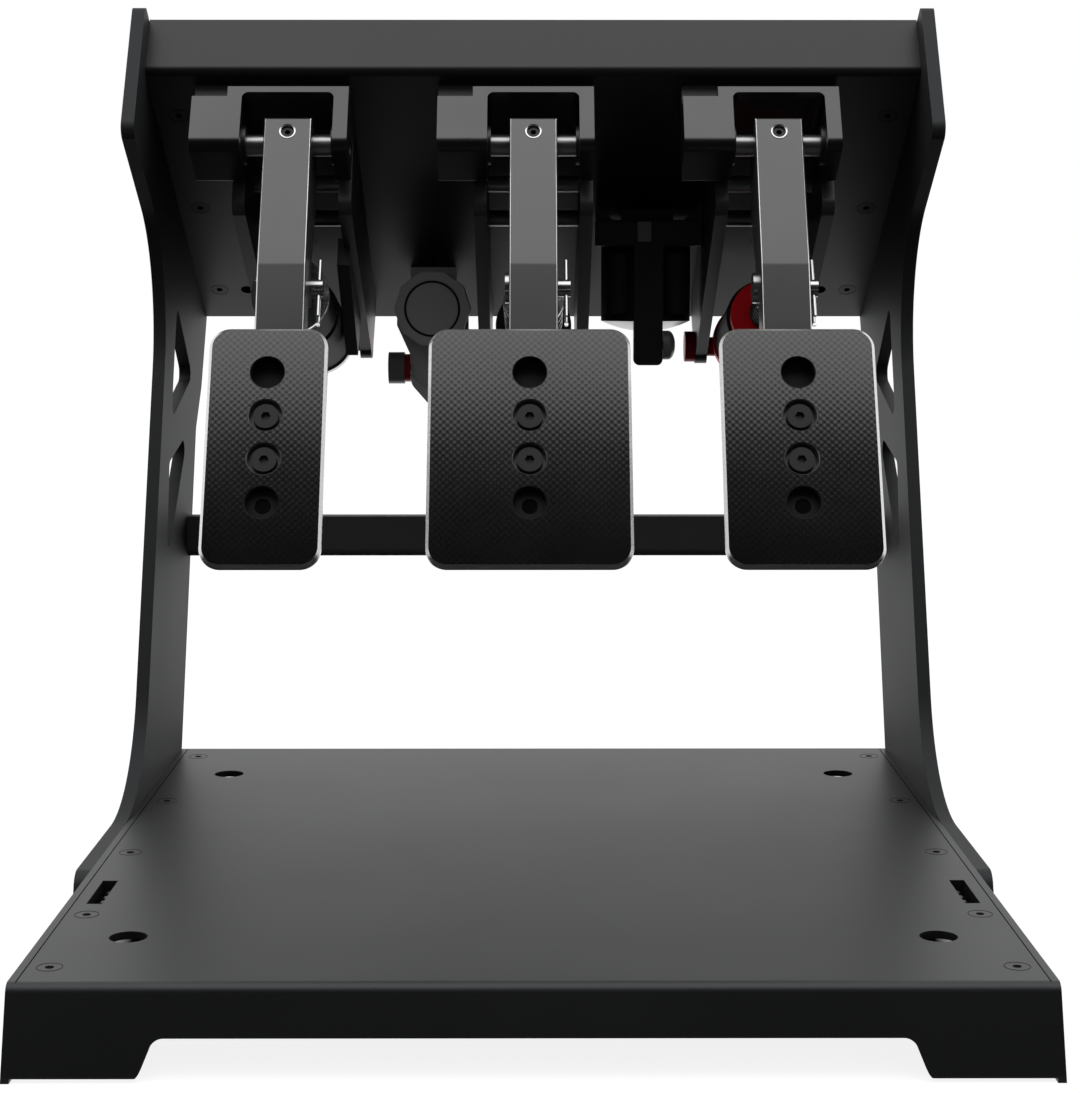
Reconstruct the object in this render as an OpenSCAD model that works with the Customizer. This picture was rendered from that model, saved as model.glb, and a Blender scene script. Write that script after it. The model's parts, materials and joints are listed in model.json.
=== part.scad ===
// Hanging three-pedal set for a driving simulator, on a floor-standing plate frame.
// Millimetres, +Z up, +Y away from the driver. The origin is on the floor, at the middle of the footprint.

/* [Frame] */
// Clear width between the two side plates
inner_w = 360; // [340:1:400]
// Thickness of a side plate
side_t = 6; // [4:0.5:8]
// Length of the base plate from its front edge to its back edge
base_len = 380; // [340:1:420]
// Height of the base plate's top above the floor
base_h = 31; // [27:1:40]
// Thickness of the bent sheet and of the rails
sheet_t = 3; // [2:0.5:4]
// Outer radius of the base plate's front bend
bend_r = 4.5; // [4.2:0.1:7]
// Slant of the front lip from the vertical, degrees
lip_slant = 21; // [10:1:30]
// Gap between the front lip and the floor
lip_gap = 1.5; // [0.5:0.5:4]
// Width of the notch in the front lip, along its top
notch_w = 258; // [200:1:280]
// Height of the notch above the lip's bottom edge
notch_h = 12.4; // [8:0.2:18]
// Slope of the notch's sides: how far each side moves out towards the floor
notch_flare = 5; // [2:1:10]
// Radius of the notch's corners
notch_r = 5; // [2:0.5:6]
// Width of a base rail's flange, under the base plate
flange_w = 18; // [16:1:24]
// Width of a top rail's flange, over the mounting plate
top_flange_w = 34; // [31:1:38]

/* [Base holes] */
// Diameter of the four base mounting holes
hole_d = 14; // [8:0.5:18]
// Spacing of the base holes across the frame
hole_dx = 296; // [260:1:300]
// Spacing of the base holes front to back
hole_dy = 268; // [220:1:280]
// Distance of the front pair of holes from the base plate's front edge
hole_y = 54; // [40:1:70]
// Width of the two strap slots
slot_w = 6; // [4:0.5:8]
// Length of the two strap slots
slot_l = 33; // [20:1:40]
// Distance of the strap slots from the front edge
slot_y = 97; // [93:1:110]
// Distance of the rail screws and strap slots from the inner face of the side plates
edge_in = 11; // [10:0.5:13]

/* [Side plates] */
// Where the foot's top corner lies, back from the base plate's front edge
foot_y = 142; // [120:1:160]
// Radius of the foot's top corner
foot_r = 8; // [3:1:12]
// Width of a leg where it meets the base plate's top
leg_w = 111; // [106:1:116]
// Setback of the leg's back edge from the base plate's back edge
leg_in = 1; // [0:0.5:4]
// Lean of the legs from the vertical, degrees
leg_lean = 22.9; // [20:0.1:25]
// Fillet between the foot and the leg
foot_fillet = 74; // [40:1:80]
// Fillet between the leg and the upper band
band_fillet = 62; // [40:1:66]
// Height of the kink in the leg's back edge above the floor
kink_z = 191; // [180:1:196]
// Reach of the upper band in front of the mounting plate
band_front = 12; // [6:1:20]
// Length of the upper band behind the mounting plate's front edge
band_back = 215; // [214:1:225]
// Height of the upper band above the mounting plate's underside
band_up = 29.5; // [24:0.5:32]
// Depth of the upper band below the mounting plate's underside
band_down = 43; // [38:1:50]
// Radius of the upper band's corners
band_r = 4; // [2:0.5:6]
// Radius of the upper band's nose
nose_r = 6; // [3:1:10]
// Web left in front of the two truss cut-outs
truss_front = 28; // [20:1:34]
// Web left behind the two truss cut-outs
truss_back = 22; // [16:1:32]
// Radius of the truss cut-outs' corners
truss_r = 5; // [2:0.5:6]

/* [Mounting plate] */
// Height of the mounting plate's front lower edge above the floor
ceil_z = 365; // [350:1:380]
// Distance of that edge ahead of the base plate's back edge
ceil_in = 68.5; // [62:0.5:74]
// Downward slope of the mounting plate towards the back, degrees
ceil_slope = 33; // [30:0.5:35]
// Length of the mounting plate along its slope
ceil_len = 212; // [210:1:213]
// Thickness of the mounting plate
ceil_t = 3; // [2.5:0.5:4]
// Height of the bent-up fascia
fascia_h = 30.5; // [20:0.5:36]
// Inner radius of the fascia's bend
fascia_bend = 0.6; // [0.4:0.1:2]
// Diameter of the two free holes near the back corners
corner_hole_d = 7; // [5:0.5:9]

/* [Crossbar] */
// Height of the crossbar's section
bar_h = 21; // [16:1:26]
// Depth of the crossbar's section
bar_t = 10; // [9.5:0.5:12]
// Height of the crossbar's middle above the floor
bar_z = 137; // [125:1:150]
// Radius of the crossbar's lower front edge
bar_r = 4.5; // [1:0.5:4.5]

/* [Screws] */
// Shank diameter of the countersunk frame screws
screw_d = 5; // [4:0.5:6]
// Head diameter of the countersunk frame screws
screw_head_d = 9; // [8:0.5:10]
// Height of the countersunk head's cone
screw_head_h = 2.4; // [1.5:0.1:2.8]
// Gap round a screw in its hole
screw_gap = 0.1; // [0.05:0.05:0.3]

/* [Pedal modules] */
// Spacing of the pedals across the frame
pitch = 113.5; // [111:0.5:118]
// Thickness of a module's base plate
module_t = 6; // [4:0.5:7]
// Width of a module over its cheeks and its yoke
module_w = 56; // [54:1:60]
// Thickness of a module's cheek
cheek_t = 6; // [4:0.5:7]
// Length of a module's base plate
module_len = 195; // [190:1:205]
// Where the modules start behind the fascia's front face
module_u = 3; // [1:0.5:8]
// Setback of a module's base plate behind its yoke's front
module_back = 7; // [5:0.5:9]
// Depth of a cheek below the mounting plate at its front
cheek_drop = 51; // [46:1:56]
// Radius of a cheek's end round the trunnion pin
cheek_r = 8.8; // [8:0.2:12]
// Thickness of a yoke's ear
ear_t = 6.75; // [5:0.25:8]
// Thickness of a yoke's web
web_t = 3.2; // [2:0.2:5]
// Length of a yoke along the module
yoke_len = 28; // [26:1:30]
// Depth of a yoke's ears below the mounting plate
ear_drop = 39.5; // [38:0.5:44]
// Radius of an ear's lower front corner
ear_r = 5; // [2:0.5:8]
// Distance of the pedal pivot behind the fascia's front face
pivot_u = 20; // [18:0.5:22]
// Depth of the pedal pivot below the mounting plate
pivot_drop = 27; // [25:0.5:28]
// Diameter of the pivot shaft
shaft_d = 10; // [8:0.5:10.5]
// Outside diameter of a pivot bushing
bush_d = 14; // [13:0.5:16]
// Flange diameter of a pivot bushing
bush_flange_d = 18; // [17:0.5:20]
// Flange thickness of a pivot bushing
bush_flange_t = 1.5; // [1:0.25:2]
// Width of a sensor housing
sensor_w = 16.3; // [12:0.1:18]
// Top of a sensor housing below the mounting plate
sensor_top = 11.5; // [8:0.5:14]
// Diameter of the pocket in a sensor housing
sensor_bore_d = 18; // [16:0.5:19]
// Depth of the pocket in a sensor housing
sensor_pocket = 11; // [9:0.5:11]
// Thickness of a sensor board
board_t = 1.6; // [1:0.2:2]
// Diameter of the cross spacers between the cheeks
spacer_d = 8; // [6:0.5:10]
// Depth of the cross spacers below the mounting plate
spacer_drop = 16; // [12:0.5:18]
// Diameter of a trunnion pin
trunnion_d = 10; // [8:0.5:12]
// Diameter of a trunnion pin's head
trunnion_head_d = 16; // [13:0.5:16.5]
// Thickness of a trunnion pin's head
trunnion_head_t = 5.5; // [3:0.5:6]

/* [Arms] */
// Width of a pedal arm
arm_w = 22; // [20:0.5:24]
// Arm's front face ahead of the pivot
arm_front = 11; // [9:0.5:13]
// Arm's top above the pivot
arm_top = 8; // [7.5:0.5:11]
// Lean of the arm's upper front face, degrees
arm_upper_lean = 4.6; // [3:0.1:6]
// Drop from the pivot to the arm's bend
arm_bend = 69; // [60:1:76]
// Lean of the arm's lower front face, degrees
arm_lower_lean = 10.5; // [8:0.5:13]
// Drop from the pivot to the arm's lower end
arm_len = 192; // [188:1:200]
// Depth of the arm's lower stretch
arm_depth = 16; // [14:0.5:20]
// Reach of the arm's rear lobe behind the pivot
lobe_u = 23; // [18:1:26]
// Drop of the arm's rear lobe below the pivot
lobe_drop = 21; // [16:1:26]
// Width of the channel inside the arm
channel_w = 14; // [13:0.5:16]
// Thickness of the arm's front wall over the channel
arm_wall = 4.5; // [3:0.5:6]
// Bright chamfer along the arm's front edges
arm_edge = 0.8; // [0.4:0.1:1.2]
// Diameter of the arm's grub screw
grub_d = 6; // [4:0.5:7]

/* [Face plates] */
// Width of the clutch face plate
clutch_face_w = 51; // [40:1:60]
// Width of the brake face plate
brake_face_w = 87; // [70:1:95]
// Width of the throttle face plate
throttle_face_w = 67; // [50:1:75]
// Height of the face plates
face_h = 109; // [104:1:120]
// Thickness of the face plates
face_t = 8; // [7:0.5:10]
// Corner radius of the face plates
face_r = 9; // [5:0.5:14]
// Bright chamfer round the face plates
face_edge = 1.8; // [1:0.1:3]
// Face plate's top edge ahead of the pivot
face_u = 27; // [25:0.5:30]
// Height of the face plate's top edge above the arm's lower end
face_up = 75.8; // [72:0.2:80]
// Sideways shift of the clutch's face plate and its screws
clutch_face_x = -0.5; // [-3:0.1:3]
// Sideways shift of the brake's face plate and its screws
brake_face_x = -1.6; // [-3:0.1:3]
// Tilt of the face plates against the module, degrees
face_tilt = 5.8; // [4:0.2:7]
// Counterbore diameter of the face plate's holes
face_bore_d = 14.4; // [13:0.2:16]
// Counterbore depth of the face plate's holes
face_bore_h = 4.5; // [4:0.25:5.5]
// Through diameter of the face plate's holes
face_hole_d = 7; // [6.5:0.25:8]
// Pitch of the face plate's holes
face_pitch = 20; // [17:0.5:22]
// Distance from the top edge to the first hole
face_first = 21; // [18:0.5:24]
// Shank diameter of the face plate's screws
bolt_d = 6; // [5:0.5:6.25]
// Head diameter of the face plate's screws
bolt_head_d = 11; // [9:0.5:12.5]
// Head height of the face plate's screws
bolt_head_h = 3.4; // [2.5:0.1:3.9]

/* [Return struts] */
// Travel of the clutch pedal, degrees
clutch_travel = 18; // [12:1:18]
// Travel of the brake pedal, degrees
brake_travel = 7; // [4:1:10]
// Travel of the throttle pedal, degrees
throttle_travel = 16; // [12:1:18]
// Clevis pin behind the pivot
clevis_u = 16.4; // [14:0.2:17]
// Drop from the pivot to the clevis pin
clevis_drop = 68; // [64:0.5:72]
// Diameter of a clevis pin
clevis_d = 8; // [6:0.5:9]
// Radius of the arm's boss round the clevis pin
boss_r = 9; // [8.5:0.5:11]
// Radius of a rod's eye
eye_r = 9; // [8:0.5:10]
// Width of a rod's eye
eye_w = 11; // [9:0.5:12]
// Free play between a rod's eye and its clevis pin, on the radius
eye_play = 1; // [0.9:0.1:1.5]
// Diameter of a rod
rod_d = 9; // [7:0.5:10]
// Distance from the clevis pin to a rod's spring collar
collar_s = 16; // [14:0.5:18]
// Thickness of a rod's spring collar
collar_t = 3.5; // [2:0.5:5]
// Reach of a rod's spring collar beyond what stands on it
collar_rim = 0.8; // [0.4:0.1:1]
// Length of a spring or elastomer stack at rest
spring_l = 46; // [44:0.5:50]
// Mean radius of the clutch's coil spring
clutch_coil_r = 15.8; // [13:0.1:16]
// Wire diameter of the clutch's coil spring
clutch_wire_d = 3.2; // [2:0.1:3.4]
// Mean radius of the throttle's coil spring
throttle_coil_r = 7.4; // [7:0.1:11]
// Wire diameter of the throttle's coil spring
throttle_wire_d = 2; // [1.6:0.1:2.4]
// Turns of a coil spring
coil_turns = 6; // [4:1:6]
// Number of elastomer rings in the brake's stack
ring_count = 4; // [3:1:6]
// Radius of the elastomer rings
ring_r = 13.5; // [11:0.5:14]
// Thickness of the washers between the elastomer rings
washer_t = 1.5; // [1:0.25:2]
// Radius of a damper tube
tube_r = 18.5; // [17:0.5:19]
// Length of a damper tube
tube_l = 72; // [70:1:76]
// Thickness of a damper tube's front wall
tube_wall = 6; // [4:0.5:8]
// Radius of a damper's piston
piston_r = 13; // [11:0.5:14]
// Length of a damper's piston
piston_l = 7; // [5:0.5:10]
// Thickness of the rim of a damper's end cap
cap_t = 6; // [4:0.5:8]
// Reach of an end cap's rim beyond the tube
cap_rim = 1.2; // [0.5:0.1:2]
// Distance from the end cap's rim to the trunnion pin
trunnion_s = 13; // [12.5:0.5:15]
// Thickness of the throttle's red preload ring
preload_t = 7; // [5:0.5:9]
// Radius of the throttle's red preload ring
preload_r = 17; // [14:0.5:19]

/* [Vibration units] */
// Distance of the left unit from the middle of the frame
left_unit_x = 53; // [52:0.5:60]
// Width of the left motor's ten-sided face, corner to corner
disc_d = 40; // [36:1:41]
// Thickness of the left motor
disc_t = 18; // [14:1:19]
// Distance of the left motor behind the fascia's front face
disc_u = 160; // [154:1:164]
// Depth of the left motor's middle below the mounting plate
disc_drop = 28; // [27:1:34]
// Tilt of the left unit against the mounting plate, degrees
disc_tilt = 33; // [28:1:35]
// Thickness of the left unit's tongue
tongue_t = 8; // [7:0.5:10]
// Diameter of the left thumb knob
left_knob_d = 16.8; // [12:0.2:17]
// Length of the left thumb knob
left_knob_l = 8.5; // [5:0.5:9]
// Distance of the right unit from the middle of the frame
right_unit_x = 58; // [56.5:0.5:58.5]
// Distance of the right unit behind the fascia's front face
motor_u = 102; // [96:1:106]
// Width of the right motor's round body
motor_w = 46.6; // [40:0.2:47]
// Depth of the right motor's body
motor_t = 24; // [18:1:26]
// Height of the right motor's body
motor_h = 38; // [30:1:42]
// Height of the dome under the right motor's body
dome_h = 5.4; // [3:0.2:7]
// Drop from the mounting plate to the right motor's top
motor_drop = 23; // [22:0.5:26]
// Width of the right unit's head block
block_w = 53; // [50:0.5:53]
// Depth of the right unit's head block
block_t = 14; // [10:0.5:14]
// Width of the right unit's strap
strap_w = 14.6; // [12:0.2:15]
// Thickness of the right unit's strap
strap_t = 7; // [6:0.5:8]
// Reach of the strap below the right motor
strap_reach = 22; // [20:1:26]
// Diameter of the right thumb knob
knob_d = 14.6; // [11:0.2:16]
// Length of the right thumb knob
knob_l = 6; // [5:0.5:9]
// Diameter of the thumb knobs' stems
stem_d = 4; // [3:0.25:4.5]

/* [Clearances] */
// Running clearance on the radius of a turning or sliding fit
run_gap = 0.06; // [0.02:0.01:0.1]
// Gap between curved faces that must stay apart
free_gap = 0.3; // [0.2:0.05:0.5]
// Gap on the radius of a seated fit
seat_gap = 0.02; // [0.01:0.01:0.05]

/* [Hidden] */
$fn = 48;
overcut = 1;
arc_step = 4;
inner_x = inner_w / 2;
outer_x = inner_x + side_t;
plate_x = inner_x - sheet_t;
lip_tan = tan(lip_slant);

leg_back_y = base_len - leg_in;
leg_front_y = leg_back_y - leg_w;
ceil_y = base_len - ceil_in;
fascia_r = ceil_t + fascia_bend;

// Places on the sloping mounting plate: u runs back along it, v stands up from its underside
function ceil_pt(u, v) = [ceil_y + u * cos(ceil_slope) + v * sin(ceil_slope),
                          ceil_z - u * sin(ceil_slope) + v * cos(ceil_slope)];
function leg_front(z) = [leg_front_y + (z - base_h) * tan(leg_lean), z];
function leg_back(z) = [leg_back_y + (z - base_h) * tan(leg_lean), z];

// The footprint runs from the rails' front corner to the upper band's back corner
front_end = -base_h * lip_tan;
back_end = ceil_pt(band_back - band_r, band_up - band_r)[0] + band_r;
mid_y = (front_end + back_end) / 2;

rail_screw_in = 18.5;
rail_screw_y = [rail_screw_in, 0.218 * base_len, 0.458 * base_len, 0.7 * base_len, base_len - rail_screw_in];
top_screw_u = [0.156 * ceil_len, 0.514 * ceil_len, 0.873 * ceil_len];
foot_bolt_y = [foot_y + 26, foot_y + 80, leg_back_y - 89, leg_back_y - 34];
foot_bolt_z = base_h / 2;
slot_tooth_count = 4;
web_bolt_v = ceil_t + sheet_t + 8;
edge_x = inner_x - edge_in;
bar_y = leg_back(bar_z - bar_h / 2)[0] - bar_t;

pivot_v = -pivot_drop;
yoke_back = module_u + yoke_len;
module_front = module_u + module_back;
module_end = module_u + module_len;
cheek_u = yoke_back + 2;
cheek_x = module_w / 2 - cheek_t;
spacer_u = [0.338 * module_len, 0.487 * module_len];
module_screw_u = [0.31 * module_len, 0.667 * module_len, 0.944 * module_len];
stem_z = -0.79 * disc_d;
face_drop = arm_len - face_up;
clevis_v = -clevis_drop;
clevis_arm = norm([clevis_u, clevis_drop]);
collar_end = collar_s + collar_t;
tube_s = collar_end + spring_l + 2 * free_gap;
cap_s = tube_s + tube_l;
trunnion_at = cap_s + cap_t + trunnion_s;
bracket_top = face_first + face_pitch / 2;
bracket_end = face_first + 2.7 * face_pitch;
ear_x = module_w / 2 - ear_t;

// A strut points along the chord of its clevis pin's arc
function strut_angle(travel) = atan(clevis_u / clevis_drop) + travel / 2;

// How far the arm's front face lies behind the pivot, at height v from the pivot
function arm_front_u(v) = v > -arm_bend
    ? -arm_front - v * tan(arm_upper_lean)
    : -arm_front + arm_bend * tan(arm_upper_lean) - (v + arm_bend) * tan(arm_lower_lean);

powder = [0.13, 0.13, 0.14];
anodised = [0.2, 0.2, 0.21];
steel = [0.75, 0.75, 0.77];
rubber = [0.06, 0.06, 0.06];
red = [0.7, 0.06, 0.08];

// Frames of reference

// Puts the middle of the footprint at the origin
module footprint() {
    translate([0, -mid_y, 0])
        children();
}

// Local y runs back along the mounting plate and local z stands up from its underside
module under_plate() {
    footprint()
        translate([0, ceil_y, ceil_z])
            rotate([-ceil_slope, 0, 0])
                children();
}

// Origin on a pedal's pivot axis
module at_pivot(x) {
    under_plate()
        translate([x, pivot_u, pivot_v])
            children();
}

// Origin on a clevis pin, local y along the strut
module at_strut(x, travel) {
    at_pivot(x)
        translate([0, clevis_u, clevis_v])
            rotate([strut_angle(travel), 0, 0])
                children();
}

// Origin at the middle of a face plate's top edge, local y into the plate
module at_face(x) {
    at_pivot(x)
        translate([0, -face_u, -face_drop])
            rotate([face_tilt, 0, 0])
                children();
}

// Building blocks

// A profile drawn in y and z, from x0 to x1
module slab_x(x0, x1) {
    translate([x0, 0, 0])
        rotate([90, 0, 90])
            linear_extrude(x1 - x0)
                children();
}

// A profile drawn in x and z, from y0 to y1
module slab_y(y0, y1) {
    translate([0, y1, 0])
        rotate([90, 0, 0])
            linear_extrude(y1 - y0)
                children();
}

module rod_x(x0, x1, r) {
    translate([x0, 0, 0])
        rotate([0, 90, 0])
            cylinder(r = r, h = x1 - x0);
}

module rod_y(y0, y1, r) {
    translate([0, y0, 0])
        rotate([-90, 0, 0])
            cylinder(r = r, h = y1 - y0);
}

function unit(p) = p / norm(p);
function prior(pts, i) = pts[(i + len(pts) - 1) % len(pts)];
function next(pts, i) = pts[(i + 1) % len(pts)];
function turn(pts, i) = cross(pts[i] - prior(pts, i), next(pts, i) - pts[i]);
function half_angle(pts, i) =
    acos(unit(prior(pts, i) - pts[i]) * unit(next(pts, i) - pts[i])) / 2;
function corner_middle(pts, i, r) = pts[i]
    + unit(unit(prior(pts, i) - pts[i]) + unit(next(pts, i) - pts[i])) * r / sin(half_angle(pts, i));
function corner_cut(pts, i, r) = pts[i] + unit(prior(pts, i) - pts[i]) * r / tan(half_angle(pts, i));

// The points of a corner's arc, in steps of at most arc_step degrees
function corner_arc(pts, i, r) =
    let (middle = corner_middle(pts, i, r),
         spoke = corner_cut(pts, i, r) - middle,
         sweep = (180 - 2 * half_angle(pts, i)) * sign(turn(pts, i)),
         steps = ceil(abs(sweep) / arc_step),
         start = atan2(spoke[1], spoke[0]))
    [for (k = [0:steps]) middle + r * [cos(start + sweep * k / steps), sin(start + sweep * k / steps)]];

// A polygon, listed anticlockwise, with an arc of its own radius at each corner
module rounded(pts, radii) {
    polygon([for (i = [0:len(pts) - 1]) each radii[i] > 0 ? corner_arc(pts, i, radii[i]) : [pts[i]]]);
}

// A sheet bent once: its outer line runs from a through the corner b to c, the sheet lies to its left
module bent_sheet(a, b, c, t, r) {
    ab = unit(a - b);
    bc = unit(c - b);
    half = acos(ab * bc) / 2;
    inner = b + unit(ab + bc) * t / sin(half);
    side_a = inner - b - ab * ((inner - b) * ab);
    side_c = inner - b - bc * ((inner - b) * bc);
    rounded([a, b, c, c + side_c, inner, a + side_a], [0, r, 0, 0, r - t, 0]);
}

// A countersunk screw with its head's flat top at z = 0, pointing down; grow widens it into its hole
module countersunk(len, grow) {
    translate([0, 0, -screw_head_h])
        cylinder(r1 = screw_d / 2 + grow, r2 = screw_head_d / 2 + grow, h = screw_head_h);
    translate([0, 0, -len])
        cylinder(r = screw_d / 2 + grow, h = len - screw_head_h / 2);
}

// A hole for the same screw, open past its head
module countersink(len) {
    countersunk(len + overcut, screw_gap);
    translate([0, 0, -screw_gap])
        cylinder(r = screw_head_d / 2 + screw_gap, h = overcut);
}

// Places of the frame's screws; each child points down its local z

module rail_screws() {
    for (x = [-edge_x, edge_x], y = rail_screw_y)
        translate([x, y, base_h])
            children();
}

module top_screws() {
    for (x = [-edge_x, edge_x], u = top_screw_u)
        translate([x, u, 0])
            rotate([180, 0, 0])
                children();
}

module module_screws() {
    for (x = [-pitch, 0, pitch], u = module_screw_u)
        translate([x, u, ceil_t])
            children();
}

// The plain screw over the left vibration unit, seen from below
module unit_screw() {
    translate([-left_unit_x, disc_u, 0])
        rotate([180, 0, 0])
            children();
}

// The screw that holds the left vibration unit's post from above
module post_screw() {
    y = disc_t + 0.7 * tongue_t;
    translate([-left_unit_x, disc_u + y * cos(disc_tilt) - plate_above(y) * sin(disc_tilt), ceil_t])
        children();
}

module foot_bolts(side) {
    for (y = foot_bolt_y)
        translate([side * outer_x, y, foot_bolt_z])
            rotate([0, side * 90, 0])
                children();
}

module bar_bolts(side) {
    translate([side * outer_x, bar_y + bar_t / 2, bar_z])
        rotate([0, side * 90, 0])
            children();
}

module web_bolts(side) {
    for (u = top_screw_u)
        translate([side * outer_x, u, web_bolt_v])
            rotate([0, side * 90, 0])
                children();
}

// Frame

module base_plate() {
    color(powder)
        footprint()
            difference() {
                slab_x(-plate_x, plate_x)
                    bent_sheet([base_len, base_h], [0, base_h], [-(base_h - lip_gap) * lip_tan, lip_gap],
                               sheet_t, bend_r);
                slab_y(front_end - overcut, 0)
                    lip_notch();
                for (x = [-hole_dx / 2, hole_dx / 2], y = [hole_y, hole_y + hole_dy])
                    translate([x, y, base_h - sheet_t - overcut])
                        cylinder(d = hole_d, h = sheet_t + 2 * overcut);
                strap_slots(base_h - sheet_t);
                rail_screws()
                    countersink(sheet_t + overcut);
            }
}

// The notch reaches the floor, so the lip's corners beside it are round too
module lip_notch() {
    top = notch_w / 2;
    low = top + notch_flare;
    floor_reach = low + 4 * notch_r;
    rounded([[-floor_reach, -overcut - notch_r], [floor_reach, -overcut - notch_r], [low, lip_gap],
             [top, lip_gap + notch_h], [-top, lip_gap + notch_h], [-low, lip_gap]],
            [0, 0, notch_r, notch_r, notch_r, notch_r]);
}

module strap_slots(z) {
    for (x = [-edge_x, edge_x])
        translate([x - slot_w / 2, slot_y, z - sheet_t - overcut])
            cube([slot_w, slot_l, 2 * sheet_t + 2 * overcut]);
}

// Teeth along the inner side of a rail's slot, which hold a strap's clip
module slot_teeth() {
    step = slot_l / (slot_tooth_count + 1);
    for (side = [-1, 1], i = [1:slot_tooth_count])
        translate([side * (edge_x - slot_w / 2), slot_y + i * step - step / 4, base_h - 2 * sheet_t])
            translate([side < 0 ? -slot_w / 2 : 0, 0, 0])
                cube([slot_w / 2, step / 2, sheet_t]);
}

// A rail is an angle: its web closes the base's side and its flange carries the base plate
module base_rail(side) {
    x0 = side > 0 ? plate_x : -inner_x;
    flange_x = side > 0 ? plate_x - flange_w : -plate_x;
    color(powder)
        footprint()
            difference() {
                union() {
                    slab_x(x0, x0 + sheet_t)
                        rounded([[front_end, 0], leg_back(0), [base_len, base_h], [0, base_h]],
                                [0, 0, 0, bend_r]);
                    translate([flange_x, 2 * bend_r, base_h - 2 * sheet_t])
                        cube([flange_w, base_len - 2 * bend_r, sheet_t]);
                }
                difference() {
                    strap_slots(base_h - sheet_t);
                    slot_teeth();
                }
                rail_screws()
                    countersink(3 * sheet_t);
                foot_bolts(side)
                    countersink(side_t + 2 * sheet_t);
            }
}

module base_rail_left() {
    base_rail(-1);
}

module base_rail_right() {
    base_rail(1);
}

// Where the upper band's lower edge would meet the leg's front edge
function band_leg_u() = (leg_front_y - ceil_y + band_down * sin(ceil_slope)
    + (ceil_z - band_down * cos(ceil_slope) - base_h) * tan(leg_lean))
    / (cos(ceil_slope) + sin(ceil_slope) * tan(leg_lean));

module side_outline() {
    rounded([[foot_y - base_h * lip_tan, 0], leg_back(0), leg_back(kink_z), ceil_pt(band_back, -band_down),
             ceil_pt(band_back, band_up), ceil_pt(-band_front, band_up), ceil_pt(-band_front, -band_down),
             ceil_pt(band_leg_u(), -band_down), leg_front(base_h), [foot_y, base_h]],
            [0, 0, 2 * band_r, 2 * band_r, band_r, band_r, nose_r, band_fillet, foot_fillet, foot_r]);
}

function leg_share(share) = base_h + share * (ceil_z - base_h);

// Two triangles lighten each leg: one under the band, one below it; their corners lie at shares of its height
module truss() {
    upper = [leg_front(leg_share(0.677)), leg_front(leg_share(0.506)), leg_back(leg_share(0.563))];
    lower = [leg_front(leg_share(0.446)), leg_front(leg_share(0.293)), leg_back(leg_share(0.479))];
    web = [truss_front, 0];
    rear = [truss_back, 0];
    rounded([upper[0] + web, upper[1] + web, upper[2] - rear], [truss_r, truss_r, truss_r]);
    rounded([lower[0] + web, lower[1] + 1.25 * web, lower[2] - 1.25 * rear], [truss_r, truss_r, truss_r]);
}

module side_plate(side) {
    x0 = side > 0 ? inner_x : -outer_x;
    color(powder)
        difference() {
            footprint()
                slab_x(x0, x0 + side_t)
                    difference() {
                        side_outline();
                        truss();
                    }
            footprint()
                foot_bolts(side)
                    countersink(side_t + overcut);
            footprint()
                bar_bolts(side)
                    countersink(side_t + overcut);
            under_plate()
                web_bolts(side)
                    countersink(side_t + overcut);
        }
}

module side_plate_left() {
    side_plate(-1);
}

module side_plate_right() {
    side_plate(1);
}

module mounting_plate() {
    color(powder)
        under_plate()
            difference() {
                slab_x(-inner_x, inner_x)
                    bent_sheet([0, fascia_h], [0, 0], [ceil_len, 0], ceil_t, fascia_r);
                top_screws()
                    countersink(ceil_t + overcut);
                module_screws()
                    countersink(ceil_t + overcut);
                unit_screw()
                    countersink(ceil_t + overcut);
                post_screw()
                    countersink(ceil_t + overcut);
                for (x = [-edge_x + 15, edge_x - 15])
                    translate([x, top_screw_u[2], -overcut])
                        cylinder(d = corner_hole_d, h = ceil_t + 2 * overcut);
            }
}

// The top rails are angles over the mounting plate, against the side plates
module top_rail(side) {
    x0 = side > 0 ? plate_x : -inner_x;
    flange_x = side > 0 ? plate_x - top_flange_w : -plate_x;
    rail_u = fascia_r + ceil_t;
    color(powder)
        under_plate()
            difference() {
                union() {
                    translate([x0, rail_u, ceil_t])
                        cube([sheet_t, ceil_len - 2 * rail_u, band_up - ceil_t]);
                    translate([flange_x, rail_u, ceil_t])
                        cube([top_flange_w, ceil_len - 2 * rail_u, sheet_t]);
                }
                top_screws()
                    countersink(ceil_t + 2 * sheet_t);
                web_bolts(side)
                    countersink(side_t + 2 * sheet_t);
            }
}

module top_rail_left() {
    top_rail(-1);
}

module top_rail_right() {
    top_rail(1);
}

module rear_crossbar() {
    color(powder)
        footprint()
            difference() {
                slab_x(-inner_x, inner_x)
                    rounded([[bar_y, bar_z - bar_h / 2], [bar_y + bar_t, bar_z - bar_h / 2],
                             [bar_y + bar_t, bar_z + bar_h / 2], [bar_y, bar_z + bar_h / 2]],
                            [bar_r, 0, 0, 0]);
                for (side = [-1, 1])
                    bar_bolts(side)
                        countersink(side_t + 4 * screw_d);
            }
}

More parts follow.
